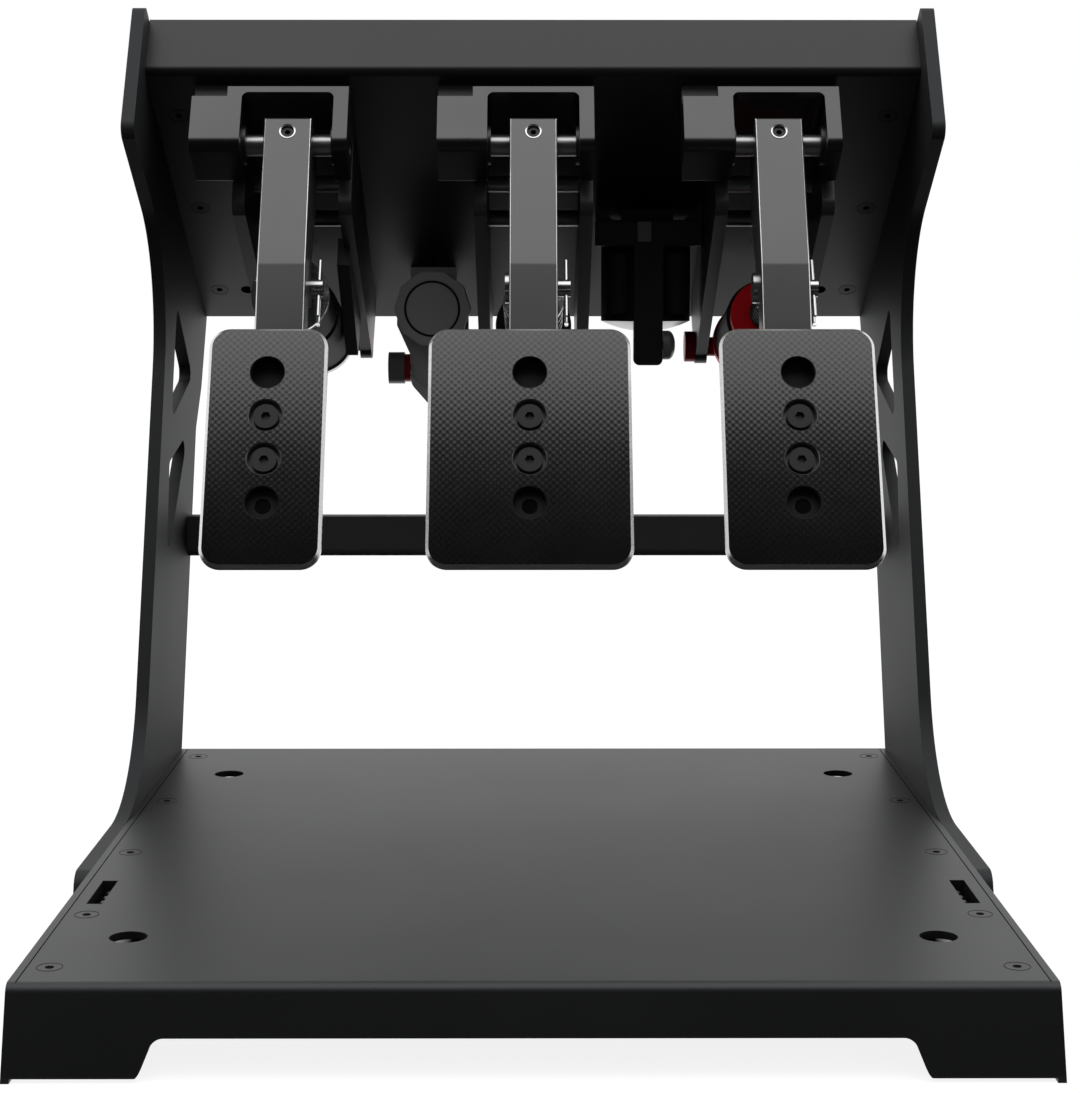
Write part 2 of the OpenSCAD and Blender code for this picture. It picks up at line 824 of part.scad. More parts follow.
module frame_screws() {
    color(steel) {
        footprint() {
            rail_screws()
                countersunk(2 * sheet_t, 0);
            for (side = [-1, 1]) {
                foot_bolts(side)
                    countersunk(side_t + sheet_t, 0);
                bar_bolts(side)
                    countersunk(side_t + 4 * screw_d, 0);
            }
        }
        under_plate() {
            top_screws()
                countersunk(ceil_t + sheet_t, 0);
            module_screws()
                countersunk(ceil_t + module_t, 0);
            unit_screw()
                countersunk(ceil_t, 0);
            post_screw()
                countersunk(ceil_t + screw_d, 0);
            for (side = [-1, 1])
                web_bolts(side)
                    countersunk(side_t + sheet_t, 0);
        }
    }
}

// Pedal modules

// Where the trunnion pin lies on the mounting plate, for a pedal of this travel
function trunnion_pt(travel) = [
    pivot_u + clevis_u + trunnion_at * cos(strut_angle(travel)),
    pivot_v + clevis_v + trunnion_at * sin(strut_angle(travel))];

// The base plate and the two cheeks are one milled channel, with a block over the sensor housing
module pedal_frame(x, travel, guarded) {
    pin = trunnion_pt(travel);
    color(anodised)
        under_plate()
            translate([x, 0, 0])
                difference() {
                    union() {
                        translate([-module_w / 2, module_front, -module_t])
                            cube([module_w, module_end - module_front, module_t]);
                        translate([-module_w / 2 - sensor_w, module_front, -sensor_top])
                            cube([sensor_w, yoke_back - module_front, sensor_top]);
                        for (x0 = [-module_w / 2, cheek_x])
                            slab_x(x0, x0 + cheek_t)
                                cheek_outline(pin);
                        if (guarded)
                            slab_x(tube_r + 1.5 * free_gap, cheek_x + cheek_t / 2)
                                guard_outline();
                    }
                    translate([0, pin[0], pin[1]])
                        rod_x(-module_w, module_w, trunnion_d / 2 + seat_gap);
                    for (u = spacer_u)
                        translate([0, u, -spacer_drop])
                            rod_x(-module_w, module_w, spacer_d / 4 + seat_gap);
                    translate([-x, 0, 0])
                        module_screws()
                            countersink(ceil_t + module_t);
                }
}

// The lower edges run into a round end about the trunnion pin
module cheek_outline(pin) {
    inset = 0.85 * cheek_r;
    rounded([[cheek_u, -module_t / 2], [cheek_u + 4, -cheek_drop], [pin[0], pin[1] - inset],
             [pin[0] + inset, pin[1]], [module_end, -module_t / 2]],
            [0, nose_r, 0, 0, 0]);
    translate(pin)
        circle(cheek_r);
}

// The clutch's right cheek has a panel inside that hangs lower, beside the tube
module guard_outline() {
    front = 0.37 * module_len;
    back = 0.7 * module_len;
    top = -0.85 * cheek_drop;
    polygon([[front, top], [front, -1.15 * cheek_drop], [back, -1.38 * cheek_drop], [back + cheek_t, top]]);
}

module yoke_front() {
    top = -module_t;
    inner = module_w / 2 - ear_t;
    inner_top = top - web_t;
    difference() {
        translate([-module_w / 2, -ear_drop])
            square([module_w, ear_drop - module_t]);
        rounded([[-inner, -ear_drop - overcut], [inner, -ear_drop - overcut], [inner, inner_top],
                 [-inner, inner_top]], [0, 0, web_t, web_t]);
    }
}

// Side view of an ear, and of the sensor housing beside it
module ear_side(top) {
    rounded([[module_u, top], [module_u, -ear_drop], [yoke_back, -ear_drop], [yoke_back, top]],
            [0, ear_r, 1, 0]);
}

module pedal_yoke(x) {
    color(anodised)
        under_plate()
            translate([x, 0, 0])
                difference() {
                    intersection() {
                        slab_y(module_u, yoke_back)
                            yoke_front();
                        slab_x(-module_w / 2, module_w / 2)
                            ear_side(-module_t);
                    }
                    translate([0, pivot_u, pivot_v])
                        rod_x(-module_w, module_w, bush_d / 2 + seat_gap);
                }
}

module pedal_sensor_housing(x) {
    x1 = -module_w / 2;
    color(anodised)
        under_plate()
            translate([x, 0, 0])
                difference() {
                    slab_x(x1 - sensor_w, x1)
                        ear_side(-sensor_top);
                    translate([0, pivot_u, pivot_v])
                        rod_x(x1 - sensor_pocket, x1 + overcut, sensor_bore_d / 2);
                }
}

module sensor_boards() {
    x0 = -module_w / 2 - sensor_pocket;
    color([0.1, 0.35, 0.2])
        for (x = [-pitch, 0, pitch])
            at_pivot(x)
                rod_x(x0, x0 + board_t, sensor_bore_d / 2 - free_gap);
}

module pivot_bushings() {
    color(anodised)
        for (x = [-pitch, 0, pitch], side = [0, 1])
            at_pivot(x)
                mirror([side, 0, 0])
                    difference() {
                        union() {
                            rod_x(ear_x, module_w / 2, bush_d / 2);
                            rod_x(ear_x - bush_flange_t, ear_x, bush_flange_d / 2);
                        }
                        rod_x(0, module_w, shaft_d / 2 + run_gap);
                    }
}

// Spacers hold the cheeks apart; their thinner ends sit in the cheeks
module frame_spacers() {
    color(steel)
        for (x = [-pitch, 0, pitch], u = spacer_u)
            under_plate()
                translate([x, u, -spacer_drop]) {
                    rod_x(-cheek_x, cheek_x, spacer_d / 2);
                    rod_x(-module_w / 2, module_w / 2, spacer_d / 4);
                }
}

module trunnion_pin(x, travel) {
    pin = trunnion_pt(travel);
    under_plate()
        translate([x, pin[0], pin[1]]) {
            rod_x(-module_w / 2, module_w / 2, trunnion_d / 2);
            rod_x(-module_w / 2 - trunnion_head_t, -module_w / 2, trunnion_head_d / 2);
        }
}

module trunnion_pins() {
    color(red) {
        trunnion_pin(-pitch, clutch_travel);
        trunnion_pin(0, brake_travel);
        trunnion_pin(pitch, throttle_travel);
    }
}

// Struts

// The tube guides the rod through its front wall, which starts at front
module damper(x, travel, front) {
    color(anodised)
        at_strut(x, travel)
            difference() {
                rod_y(front, cap_s, tube_r);
                rod_y(front - overcut, cap_s, rod_d / 2 + run_gap);
                rod_y(front + tube_wall, cap_s + overcut, piston_r + free_gap);
            }
}

module damper_cap(x, travel, tint) {
    plug_s = cap_s - cap_t;
    color(tint)
        at_strut(x, travel)
            difference() {
                union() {
                    rod_y(cap_s, cap_s + cap_t, tube_r + cap_rim);
                    rod_y(plug_s, cap_s, piston_r + free_gap - seat_gap);
                    translate([0, trunnion_at, 0])
                        rod_x(-channel_w / 2, channel_w / 2, cheek_r - overcut);
                    translate([-channel_w / 2, cap_s, -trunnion_d])
                        cube([channel_w, trunnion_at - cap_s, 2 * trunnion_d]);
                }
                translate([0, trunnion_at, 0])
                    rod_x(-channel_w, channel_w, trunnion_d / 2 + seat_gap);
            }
}

// A red ring in front of the throttle's tube, on which the spring stands
module preload_ring(x, travel) {
    color(red)
        at_strut(x, travel)
            difference() {
                rod_y(tube_s, tube_s + preload_t, preload_r);
                rod_y(tube_s - overcut, tube_s + preload_t + overcut, rod_d / 2 + free_gap);
            }
}

// The eye has play on its clevis pin, because the rod only slides while the pin swings
module rod(x, travel, front, stack_r) {
    piston_s = front + tube_wall + free_gap;
    color(steel)
        at_strut(x, travel)
            difference() {
                union() {
                    rod_x(-eye_w / 2, eye_w / 2, eye_r);
                    rod_y(clevis_d / 2, piston_s + piston_l, rod_d / 2);
                    rod_y(collar_s, collar_end, stack_r + collar_rim);
                    rod_y(piston_s, piston_s + piston_l, piston_r);
                }
                rod_x(-eye_w, eye_w, clevis_d / 2 + eye_play);
            }
}

// Coil spring: straight wire ends stand on the two seats and the helix runs between them
ring_steps = 8;
ring_sides = 6;

function helix(r, wire) = [
    for (i = [0:coil_turns * ring_steps])
        [r * cos(360 * i / ring_steps),
         wire + (spring_l - 2 * wire) * i / (coil_turns * ring_steps),
         r * sin(360 * i / ring_steps)]];

function path_way(path, i) = unit(path[min(i + 1, len(path) - 1)] - path[max(i - 1, 0)]);

// One ring of the wire, square to its path, with one axis towards the spring's middle line
function wire_ring(path, i, wire) =
    let (way = path_way(path, i),
         out = unit([path[i][0], 0, path[i][2]]),
         side = unit(cross(way, out)),
         rise = cross(side, way))
    [for (k = [0:ring_sides - 1])
        path[i] + wire / 2 * (cos(360 * k / ring_sides) * side + sin(360 * k / ring_sides) * rise)];

// Least distance between two turns of the wire, less the wire itself
function turn_gap(turns, wire) = min([
    for (i = [0:len(turns) - 1], j = [i + ring_steps / 2:1:len(turns) - 1])
        norm(turns[i] - turns[j])]) - wire;
echo(clutch_spring_least_gap_mm = turn_gap(helix(clutch_coil_r, clutch_wire_d), clutch_wire_d));
echo(throttle_spring_least_gap_mm = turn_gap(helix(throttle_coil_r, throttle_wire_d), throttle_wire_d));

module coil_spring(x, travel, r, wire) {
    path = concat([[r, 0, 0]], helix(r, wire), [[r, spring_l, 0]]);
    last = len(path) - 1;
    rings = [for (i = [0:last]) each wire_ring(path, i, wire)];
    sides = [for (i = [0:last - 1], k = [0:ring_sides - 1])
        let (a = i * ring_sides + k,
             b = i * ring_sides + (k + 1) % ring_sides)
        each [[a, b + ring_sides, b], [a, a + ring_sides, b + ring_sides]]];
    start = [for (k = [1:ring_sides - 2]) [0, k, k + 1]];
    end = [for (k = [1:ring_sides - 2])
        [last * ring_sides, last * ring_sides + k + 1, last * ring_sides + k]];
    color(steel)
        at_strut(x, travel)
            translate([0, collar_end + free_gap, 0])
                polyhedron(rings, concat(sides, start, end));
}

// Rubber rings with thin washers between them, round the brake's rod
module brake_elastomers() {
    washers = ring_count - 1;
    ring_t = (spring_l - washers * washer_t) / ring_count;
    bore = rod_d / 2 + free_gap;
    color(rubber)
        at_strut(0, brake_travel)
            translate([0, collar_end + free_gap, 0]) {
                for (i = [0:ring_count - 1])
                    translate([0, i * (ring_t + washer_t), 0])
                        elastomer_ring(ring_t, ring_r, bore);
                for (i = [0:washers - 1])
                    translate([0, i * (ring_t + washer_t) + ring_t, 0])
                        difference() {
                            rod_y(0, washer_t, ring_r + washer_t / 2);
                            rod_y(-overcut, washer_t + overcut, bore);
                        }
            }
}

module elastomer_ring(t, r, bore) {
    groove = t / 5;
    difference() {
        rod_y(0, t, r);
        rod_y(-overcut, t + overcut, bore);
        translate([0, t / 2, 0])
            rotate([-90, 0, 0])
                rotate_extrude()
                    translate([r, 0])
                        circle(groove);
    }
}

// Arms

module arm_outline() {
    low = arm_front_u(-arm_len);
    knee = arm_front_u(-clevis_drop - 2 * boss_r);
    rounded([[arm_front_u(arm_top), arm_top], [arm_front_u(-arm_bend), -arm_bend], [low, -arm_len],
             [low + arm_depth, -arm_len], [knee + arm_depth, -clevis_drop - 2 * boss_r],
             [clevis_u, -clevis_drop + boss_r + 4], [lobe_u, -lobe_drop], [arm_front, arm_top]],
            [2, 12, 3, 3, 6, 6, 8, 5]);
    translate([clevis_u, clevis_v])
        circle(boss_r);
}

// The arm is a channel, open at the back below its solid head
module arm_channel() {
    top = -shaft_d / 2 - boss_r - clevis_d / 2;
    low = -face_drop - bracket_top;
    rear = lobe_u + 3 * arm_depth;
    polygon([[arm_front_u(top) + arm_wall, top], [arm_front_u(-arm_bend) + arm_wall, -arm_bend],
             [arm_front_u(low) + arm_wall, low], [rear, low], [rear, top]]);
}

// A square bar along the arm's front edge, turned so that it cuts a chamfer
module edge_cut(v0, v1) {
    u0 = arm_front_u(v0);
    u1 = arm_front_u(v1);
    side = arm_edge * sqrt(2);
    for (x = [-arm_w / 2, arm_w / 2])
        translate([x, u1, v1])
            rotate([atan((u1 - u0) / (v0 - v1)), 0, 0])
                rotate([0, 0, 45])
                    translate([-side / 2, -side / 2, -overcut])
                        cube([side, side, norm([u1 - u0, v1 - v0]) + 2 * overcut]);
}

module pedal_arm(x, shift) {
    color(anodised) {
        at_pivot(x)
            difference() {
                slab_x(-arm_w / 2, arm_w / 2)
                    arm_outline();
                slab_x(-channel_w / 2, channel_w / 2)
                    arm_channel();
                rod_x(-arm_w, arm_w, shaft_d / 2 + seat_gap);
                translate([0, clevis_u, clevis_v])
                    rod_x(-arm_w, arm_w, clevis_d / 2 + seat_gap);
                rod_y(-2 * arm_front, 0, grub_d / 2 + screw_gap);
                edge_cut(arm_top, -arm_bend);
                edge_cut(-arm_bend, -arm_len);
                translate([shift, -face_u, -face_drop])
                    rotate([face_tilt, 0, 0])
                        rear_bolts(screw_gap, arm_depth);
            }
    }
}

// The shaft turns in the bushings; its thin end carries the sensor's magnet
module pivot_shaft(x) {
    magnet_x = -module_w / 2 - sensor_pocket + board_t + 2;
    color(steel)
        at_pivot(x) {
            rod_x(-module_w / 2 - 2, module_w / 2 - 1, shaft_d / 2);
            rod_x(magnet_x, -module_w / 2 - 2, shaft_d / 2 - 1);
        }
}

// The hairpin clip's straight leg goes through the pin's end, its bowed leg springs round it
module clevis_pin(x) {
    clip_r = clevis_d / 2 + 1.2;
    wire_r = 0.9;
    clip_x = arm_w / 2 + 4;
    leg = 15;
    color(steel)
        at_pivot(x)
            translate([0, clevis_u, clevis_v]) {
                difference() {
                    union() {
                        rod_x(-arm_w / 2, clip_x + 2, clevis_d / 2);
                        rod_x(-arm_w / 2 - 2, -arm_w / 2, boss_r - 2);
                    }
                    translate([clip_x, 0, -leg])
                        cylinder(r = wire_r + 0.1, h = 2 * leg);
                }
                translate([clip_x, 0, 0]) {
                    translate([0, 0, -leg])
                        cylinder(r = wire_r, h = 2 * leg);
                    translate([0, clip_r, -leg])
                        cylinder(r = wire_r, h = leg);
                    translate([0, clip_r / 2, -leg])
                        rotate([0, 90, 0])
                            rotate_extrude(angle = 180)
                                translate([clip_r / 2, 0])
                                    circle(wire_r);
                }
            }
}

// Face plates

function bolt_places() = [-face_first - face_pitch, -face_first - 2 * face_pitch];

// The block that carries the face plate ahead of the arm; shift moves the plate's screws sideways
module plate_bracket(x, shift) {
    y0 = face_t;
    top = face_to_arm(y0, -bracket_top);
    low = face_to_arm(y0, -bracket_end);
    color(anodised)
        at_pivot(x)
            difference() {
                slab_x(-arm_w / 2, arm_w / 2)
                    polygon([top, low, [arm_front_u(-arm_len), -arm_len],
                             [arm_front_u(top[1]), top[1]]]);
                translate([shift, -face_u, -face_drop])
                    rotate([face_tilt, 0, 0])
                        for (z = bolt_places())
                            translate([0, 0, z])
                                rod_y(0, face_u + arm_depth + arm_front, bolt_d / 2 + screw_gap);
            }
}

// A place on the face plate, seen from the pivot
function face_to_arm(y, z) = [
    -face_u + y * cos(face_tilt) - z * sin(face_tilt),
    -face_drop + y * sin(face_tilt) + z * cos(face_tilt)];

module face_plate(x, w) {
    color(rubber)
        at_face(x)
            difference() {
                hull()
                    for (sx = [-1, 1], z = [-face_r, face_r - face_h])
                        translate([sx * (w / 2 - face_r), 0, z]) {
                            rod_y(face_edge, face_t, face_r, $fn = 32);
                            rod_y(0, face_edge, face_r - face_edge, $fn = 32);
                        }
                for (i = [0:3])
                    translate([0, 0, -face_first - i * face_pitch]) {
                        rod_y(-overcut, face_bore_h, face_bore_d / 2);
                        rod_y(0, face_t + overcut, face_hole_d / 2);
                    }
            }
}

// Depth of the rear bolts' seats in the arm, from the face plate's front
function rear_seat() = face_u + arm_depth + 1;

// The bolts that hold the bracket come from the arm's back; head_room lengthens their heads into a bore
module rear_bolts(grow, head_room) {
    for (z = bolt_places())
        translate([0, 0, z]) {
            rod_y(face_u - 2, rear_seat(), bolt_d / 2 + grow);
            rod_y(rear_seat(), rear_seat() + bolt_head_h + head_room, bolt_head_d / 2 + grow);
        }
}

module socket_cut(d, depth) {
    rotate([90, 0, 0])
        translate([0, 0, -depth])
            cylinder(d = d, h = depth + overcut, $fn = 6);
}

module pedal_screws(x, shift) {
    color(rubber) {
        at_face(x + shift) {
            for (z = bolt_places())
                translate([0, 0, z])
                    difference() {
                        union() {
                            rod_y(face_bore_h - bolt_head_h, face_bore_h, bolt_head_d / 2);
                            rod_y(face_bore_h, face_u - 5, bolt_d / 2);
                        }
                        translate([0, face_bore_h - bolt_head_h, 0])
                            socket_cut(bolt_d * 0.7, 2);
                    }
            rear_bolts(0, 0);
        }
        at_pivot(x)
            difference() {
                rod_y(-arm_front + 0.8, -shaft_d / 2 - screw_gap, grub_d / 2);
                translate([0, -arm_front + 0.8, 0])
                    socket_cut(grub_d / 2, 2);
            }
    }
}

// Vibration units

// Origin at the left motor's middle, local y away from the driver
module at_left_unit() {
    under_plate()
        translate([-left_unit_x, disc_u, -disc_drop])
            rotate([disc_tilt, 0, 0])
                children();
}

// Height of the mounting plate's underside over the left unit's origin, at depth y
function plate_above(y) = (disc_drop - y * sin(disc_tilt)) / cos(disc_tilt);

module haptic_left_motor() {
    groove = 1;
    cap_r = disc_d * 0.34;
    color(powder)
        at_left_unit()
            difference() {
                rotate([-90, 0, 0])
                    cylinder(d = disc_d, h = disc_t, $fn = 10);
                difference() {
                    rod_y(-overcut, groove, cap_r + groove);
                    rod_y(-2 * overcut, groove + overcut, cap_r);
                }
            }
}

// Half the width of the left unit's tongue where the thumb knob stands, as a share of the motor
tongue_half = 0.31;

// The tongue hangs below the motor
module tongue_outline() {
    rounded(disc_d * [[-0.48, 0], [-0.49, -0.22], [-tongue_half, -0.62], [-tongue_half, -1], [0.06, -1.42],
                      [0.46, -1.42], [0.46, 0]],
            disc_d * [0, 0.1, 0.12, 0.2, 0.15, 0.15, 0]);
}

// A curved groove parts the tongue's round body from the hook under it
module tongue_groove() {
    groove_r = 0.43 * disc_d;
    half = 0.03 * disc_d;
    translate(disc_d * [0.094, -0.64])
        intersection() {
            difference() {
                circle(groove_r + half);
                circle(groove_r - half);
            }
            polygon(concat([[0, 0]], [for (a = [188, 240, 290]) 2 * groove_r * [cos(a), sin(a)]]));
        }
}

// A post behind the motor carries the tongue and reaches up to the mounting plate
module haptic_left_bracket() {
    post_w = disc_d * 0.6;
    back = disc_t + tongue_t;
    color(anodised)
        difference() {
            at_left_unit()
                difference() {
                    union() {
                        slab_y(disc_t, back)
                            tongue_outline();
                        slab_x(-post_w / 2, post_w / 2)
                            polygon([[disc_t, -tongue_t], [back, -tongue_t], [back, plate_above(back)],
                                     [disc_t, plate_above(disc_t)]]);
                    }
                    slab_y(disc_t - overcut, disc_t + tongue_t / 5)
                        tongue_groove();
                    translate([0, disc_t + tongue_t / 2, stem_z])
                        rod_x(-disc_d / 2, 0, stem_d / 2 + run_gap);
                }
            under_plate()
                post_screw()
                    countersink(ceil_t + screw_d);
        }
}

// The knob's stem turns in the tongue; a red collar stands between the knob and the tongue
module haptic_left_knob() {
    face_x = -tongue_half * disc_d - free_gap;
    collar = 3;
    color(powder)
        at_left_unit()
            translate([0, disc_t + tongue_t / 2, stem_z]) {
                rod_x(face_x - collar - left_knob_l, face_x - collar, left_knob_d / 2);
                rod_x(face_x - collar, face_x, left_knob_d / 2 - overcut);
                rod_x(face_x, -overcut, stem_d / 2);
            }
}

// Origin on the mounting plate's underside at the right unit, local z upright
module at_right_unit() {
    under_plate()
        translate([right_unit_x, motor_u, 0])
            rotate([ceil_slope, 0, 0])
                children();
}

// The motor is a round can with a flat back, two ribs beside the strap and a shallow dome below
module haptic_right_motor() {
    can_r = motor_w / 2 - free_gap;
    rib_r = motor_w * 0.15;
    rib_x = strap_w / 2 + rib_r + free_gap;
    rib_y = can_r - sqrt(can_r * can_r - rib_x * rib_x);
    rib_in = motor_h / 10;
    color(powder)
        at_right_unit()
            translate([0, 0, -motor_drop - motor_h])
                intersection() {
                    union() {
                        translate([0, can_r, 0])
                            cylinder(r = can_r, h = motor_h);
                        translate([0, can_r, 0])
                            rotate_extrude()
                                dome_half(can_r);
                        for (x = [-rib_x, rib_x])
                            translate([x, rib_y, rib_in])
                                cylinder(r = rib_r, h = motor_h - 2 * rib_in);
                    }
                    translate([-can_r, -can_r, -dome_h])
                        cube([2 * can_r, can_r + motor_t, motor_h + dome_h]);
                }
}

// Half of the dome's section, hanging under a can of radius r, with a flat at its lowest place
module dome_half(r) {
    ball_r = (r * r + dome_h * dome_h) / (2 * dome_h);
    edge = asin(r / ball_r);
    steps = 8;
    arc = [for (k = [0:steps - 2]) [ball_r * sin(edge * (1 - k / steps)),
                                    ball_r * (cos(edge) - cos(edge * (1 - k / steps)))]];
    polygon(concat([[0, overcut], [r, overcut]], arc, [[0, arc[steps - 2][1]]]));
}

// A head block with two ears and a clip, a wedge foot behind it, and a strap down the motor's front
module haptic_right_bracket() {
    front = -strap_t - free_gap;
    block_z = -motor_drop;
    block_top = -block_t * tan(ceil_slope) - overcut;
    ear_x0 = block_w * 0.32;
    ear_h = block_w * 0.16;
    clip_w = strap_w * 0.47;
    clip_t = 1.5;
    strap_low = block_z - motor_h - strap_reach;
    strap_r = strap_w / 5;
    color(anodised)
        at_right_unit()
            difference() {
                union() {
                    slab_x(-block_w / 2, block_w / 2)
                        rounded([[front, block_z], [block_t, block_z], [block_t, block_top],
                                 [front, block_top]], [0, 0, 0, 2]);
                    slab_y(front + 2, front + strap_t)
                        for (side = [-1, 1])
                            polygon([[side * ear_x0, block_top - 1], [side * block_w / 2, block_top - 1],
                                     [side * block_w / 2, block_top + ear_h]]);
                    slab_x(-block_w / 4, block_w / 4)
                        polygon([[block_t / 2, block_top - 1], [block_t, block_top - 1],
                                 [block_t, -block_t * tan(ceil_slope)],
                                 [block_t / 2, -block_t / 2 * tan(ceil_slope)]]);
                    slab_y(front, -free_gap)
                        rounded([[-strap_w / 2, strap_low], [strap_w / 2, strap_low],
                                 [strap_w / 2, block_z + 1], [-strap_w / 2, block_z + 1]],
                                [strap_r, strap_r, 0, 0]);
                    translate([-strap_w * 0.39, front - clip_t, block_z + 2])
                        cube([clip_w, clip_t + 1, block_top - block_z - 3]);
                }
                right_stem()
                    rod_x(-strap_w, strap_w, stem_d / 2 + run_gap);
            }
}

module right_stem() {
    translate([0, -free_gap - strap_t / 2, -motor_drop - motor_h - strap_reach * 0.54])
        children();
}

// The knob's outer end is domed, with a small flat in its middle
module haptic_right_knob() {
    face_x = strap_w / 2 + free_gap;
    straight = 0.45 * knob_l;
    last = 70;
    arc = [for (a = [0:14:last]) [knob_d / 2 * cos(a), straight + (knob_l - straight) * sin(a) / sin(last)]];
    color(powder)
        at_right_unit()
            right_stem() {
                translate([face_x, 0, 0])
                    rotate([0, 90, 0])
                        rotate_extrude()
                            polygon(concat([[0, 0], [knob_d / 2, 0]], arc, [[0, knob_l]]));
                rod_x(-strap_w / 2, face_x, stem_d / 2);
            }
}

base_plate();
base_rail_left();
base_rail_right();
side_plate_left();
side_plate_right();
mounting_plate();
top_rail_left();
top_rail_right();
rear_crossbar();
frame_screws();
pivot_bushings();
sensor_boards();
frame_spacers();
trunnion_pins();
pedal_frame(-pitch, clutch_travel, true);  // clutch_frame
pedal_yoke(-pitch);  // clutch_yoke
pedal_sensor_housing(-pitch);  // clutch_sensor_housing
damper(-pitch, clutch_travel, tube_s);  // clutch_damper
damper_cap(-pitch, clutch_travel, steel);  // clutch_damper_cap
coil_spring(-pitch, clutch_travel, clutch_coil_r, clutch_wire_d);  // clutch_spring
rod(-pitch, clutch_travel, tube_s, clutch_coil_r + clutch_wire_d / 2);  // clutch_rod
pedal_arm(-pitch, clutch_face_x);  // clutch_arm
pivot_shaft(-pitch);  // clutch_pivot_shaft
clevis_pin(-pitch);  // clutch_clevis_pin
plate_bracket(-pitch, clutch_face_x);  // clutch_plate_bracket
face_plate(-pitch + clutch_face_x, clutch_face_w);  // clutch_face_plate
pedal_screws(-pitch, clutch_face_x);  // clutch_screws
pedal_frame(0, brake_travel, false);  // brake_frame
pedal_yoke(0);  // brake_yoke
pedal_sensor_housing(0);  // brake_sensor_housing
damper(0, brake_travel, tube_s);  // brake_damper
damper_cap(0, brake_travel, anodised);  // brake_damper_cap
brake_elastomers();
rod(0, brake_travel, tube_s, ring_r);  // brake_rod
pedal_arm(0, brake_face_x);  // brake_arm
pivot_shaft(0);  // brake_pivot_shaft
clevis_pin(0);  // brake_clevis_pin
plate_bracket(0, brake_face_x);  // brake_plate_bracket
face_plate(brake_face_x, brake_face_w);  // brake_face_plate
pedal_screws(0, brake_face_x);  // brake_screws
pedal_frame(pitch, throttle_travel, false);  // throttle_frame
pedal_yoke(pitch);  // throttle_yoke
pedal_sensor_housing(pitch);  // throttle_sensor_housing
damper(pitch, throttle_travel, tube_s + preload_t);  // throttle_damper
damper_cap(pitch, throttle_travel, red);  // throttle_damper_cap
preload_ring(pitch, throttle_travel);  // throttle_preload_ring
coil_spring(pitch, throttle_travel, throttle_coil_r, throttle_wire_d);  // throttle_spring
rod(pitch, throttle_travel, tube_s + preload_t, throttle_coil_r + throttle_wire_d / 2);  // throttle_rod
pedal_arm(pitch, 0);  // throttle_arm
pivot_shaft(pitch);  // throttle_pivot_shaft
clevis_pin(pitch);  // throttle_clevis_pin
plate_bracket(pitch, 0);  // throttle_plate_bracket
face_plate(pitch, throttle_face_w);  // throttle_face_plate
pedal_screws(pitch, 0);  // throttle_screws
haptic_left_motor();
haptic_left_bracket();
haptic_left_knob();
haptic_right_motor();
haptic_right_bracket();
haptic_right_knob();
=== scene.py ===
import json
import math

import bmesh
import bpy
from mathutils import Matrix, Vector


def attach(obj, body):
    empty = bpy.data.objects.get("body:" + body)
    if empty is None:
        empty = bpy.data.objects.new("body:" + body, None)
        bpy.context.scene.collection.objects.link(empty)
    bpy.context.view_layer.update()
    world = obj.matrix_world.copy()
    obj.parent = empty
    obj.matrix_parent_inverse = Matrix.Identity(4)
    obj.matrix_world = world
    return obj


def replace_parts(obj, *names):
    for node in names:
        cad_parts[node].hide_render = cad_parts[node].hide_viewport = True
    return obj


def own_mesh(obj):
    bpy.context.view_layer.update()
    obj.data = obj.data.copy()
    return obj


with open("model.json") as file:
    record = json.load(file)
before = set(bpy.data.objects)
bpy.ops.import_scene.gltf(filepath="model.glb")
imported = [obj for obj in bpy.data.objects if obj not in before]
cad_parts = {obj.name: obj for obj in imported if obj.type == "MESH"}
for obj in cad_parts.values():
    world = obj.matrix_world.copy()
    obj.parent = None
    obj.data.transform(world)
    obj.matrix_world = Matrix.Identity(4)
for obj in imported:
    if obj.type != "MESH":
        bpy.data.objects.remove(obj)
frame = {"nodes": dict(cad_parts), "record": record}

scene = bpy.context.scene
nodes = frame["nodes"]
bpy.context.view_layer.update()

# Sizes repeated from the part's source, in metres and radians
SLOPE = math.radians(33)
CEIL = Vector((0, 0.3115, 0.365))
MID_Y = 0.2472240
PITCH = 0.1135
PIVOT = (0.020, -0.027)
CLEVIS = (0.0164, -0.068)
FACE_TILT = math.radians(5.8)
FACE_U, FACE_DROP, FACE_T, FACE_R = 0.027, 0.1162, 0.008, 0.009
FACE_FIRST, FACE_PITCH, BORE_R, BORE_H, HOLE_R = 0.021, 0.020, 0.0072, 0.0045, 0.0035
COLLAR_END, SPRING_L, TURNS = 0.0195, 0.046, 7
COILS = {"clutch": (0.0157, 0.0017), "throttle": (0.0074, 0.0010)}  # radius of the coil, of the wire
ARM_FRONT, ARM_LEAN, GRUB_R = 0.011, math.radians(4.6), 0.0030
ROD_R, RING_R, WASHER_T, RINGS = 0.0045, 0.0135, 0.0015, 4
FREE_GAP = 0.0003
BASE_H, EDGE_X = 0.031, 0.169
RAIL_SCREWS = (0.0185, 0.0828, 0.1740, 0.2660, 0.3615)
PLATE_SCREWS = (0.0331, 0.1090, 0.1851)
UNIT_SCREW = (-0.053, 0.160)
# Each pedal's place across the frame, its travel in degrees and its plate's width
PEDALS = {"clutch": (-PITCH, 18, 0.051), "brake": (0.0, 7, 0.087), "throttle": (PITCH, 16, 0.067)}

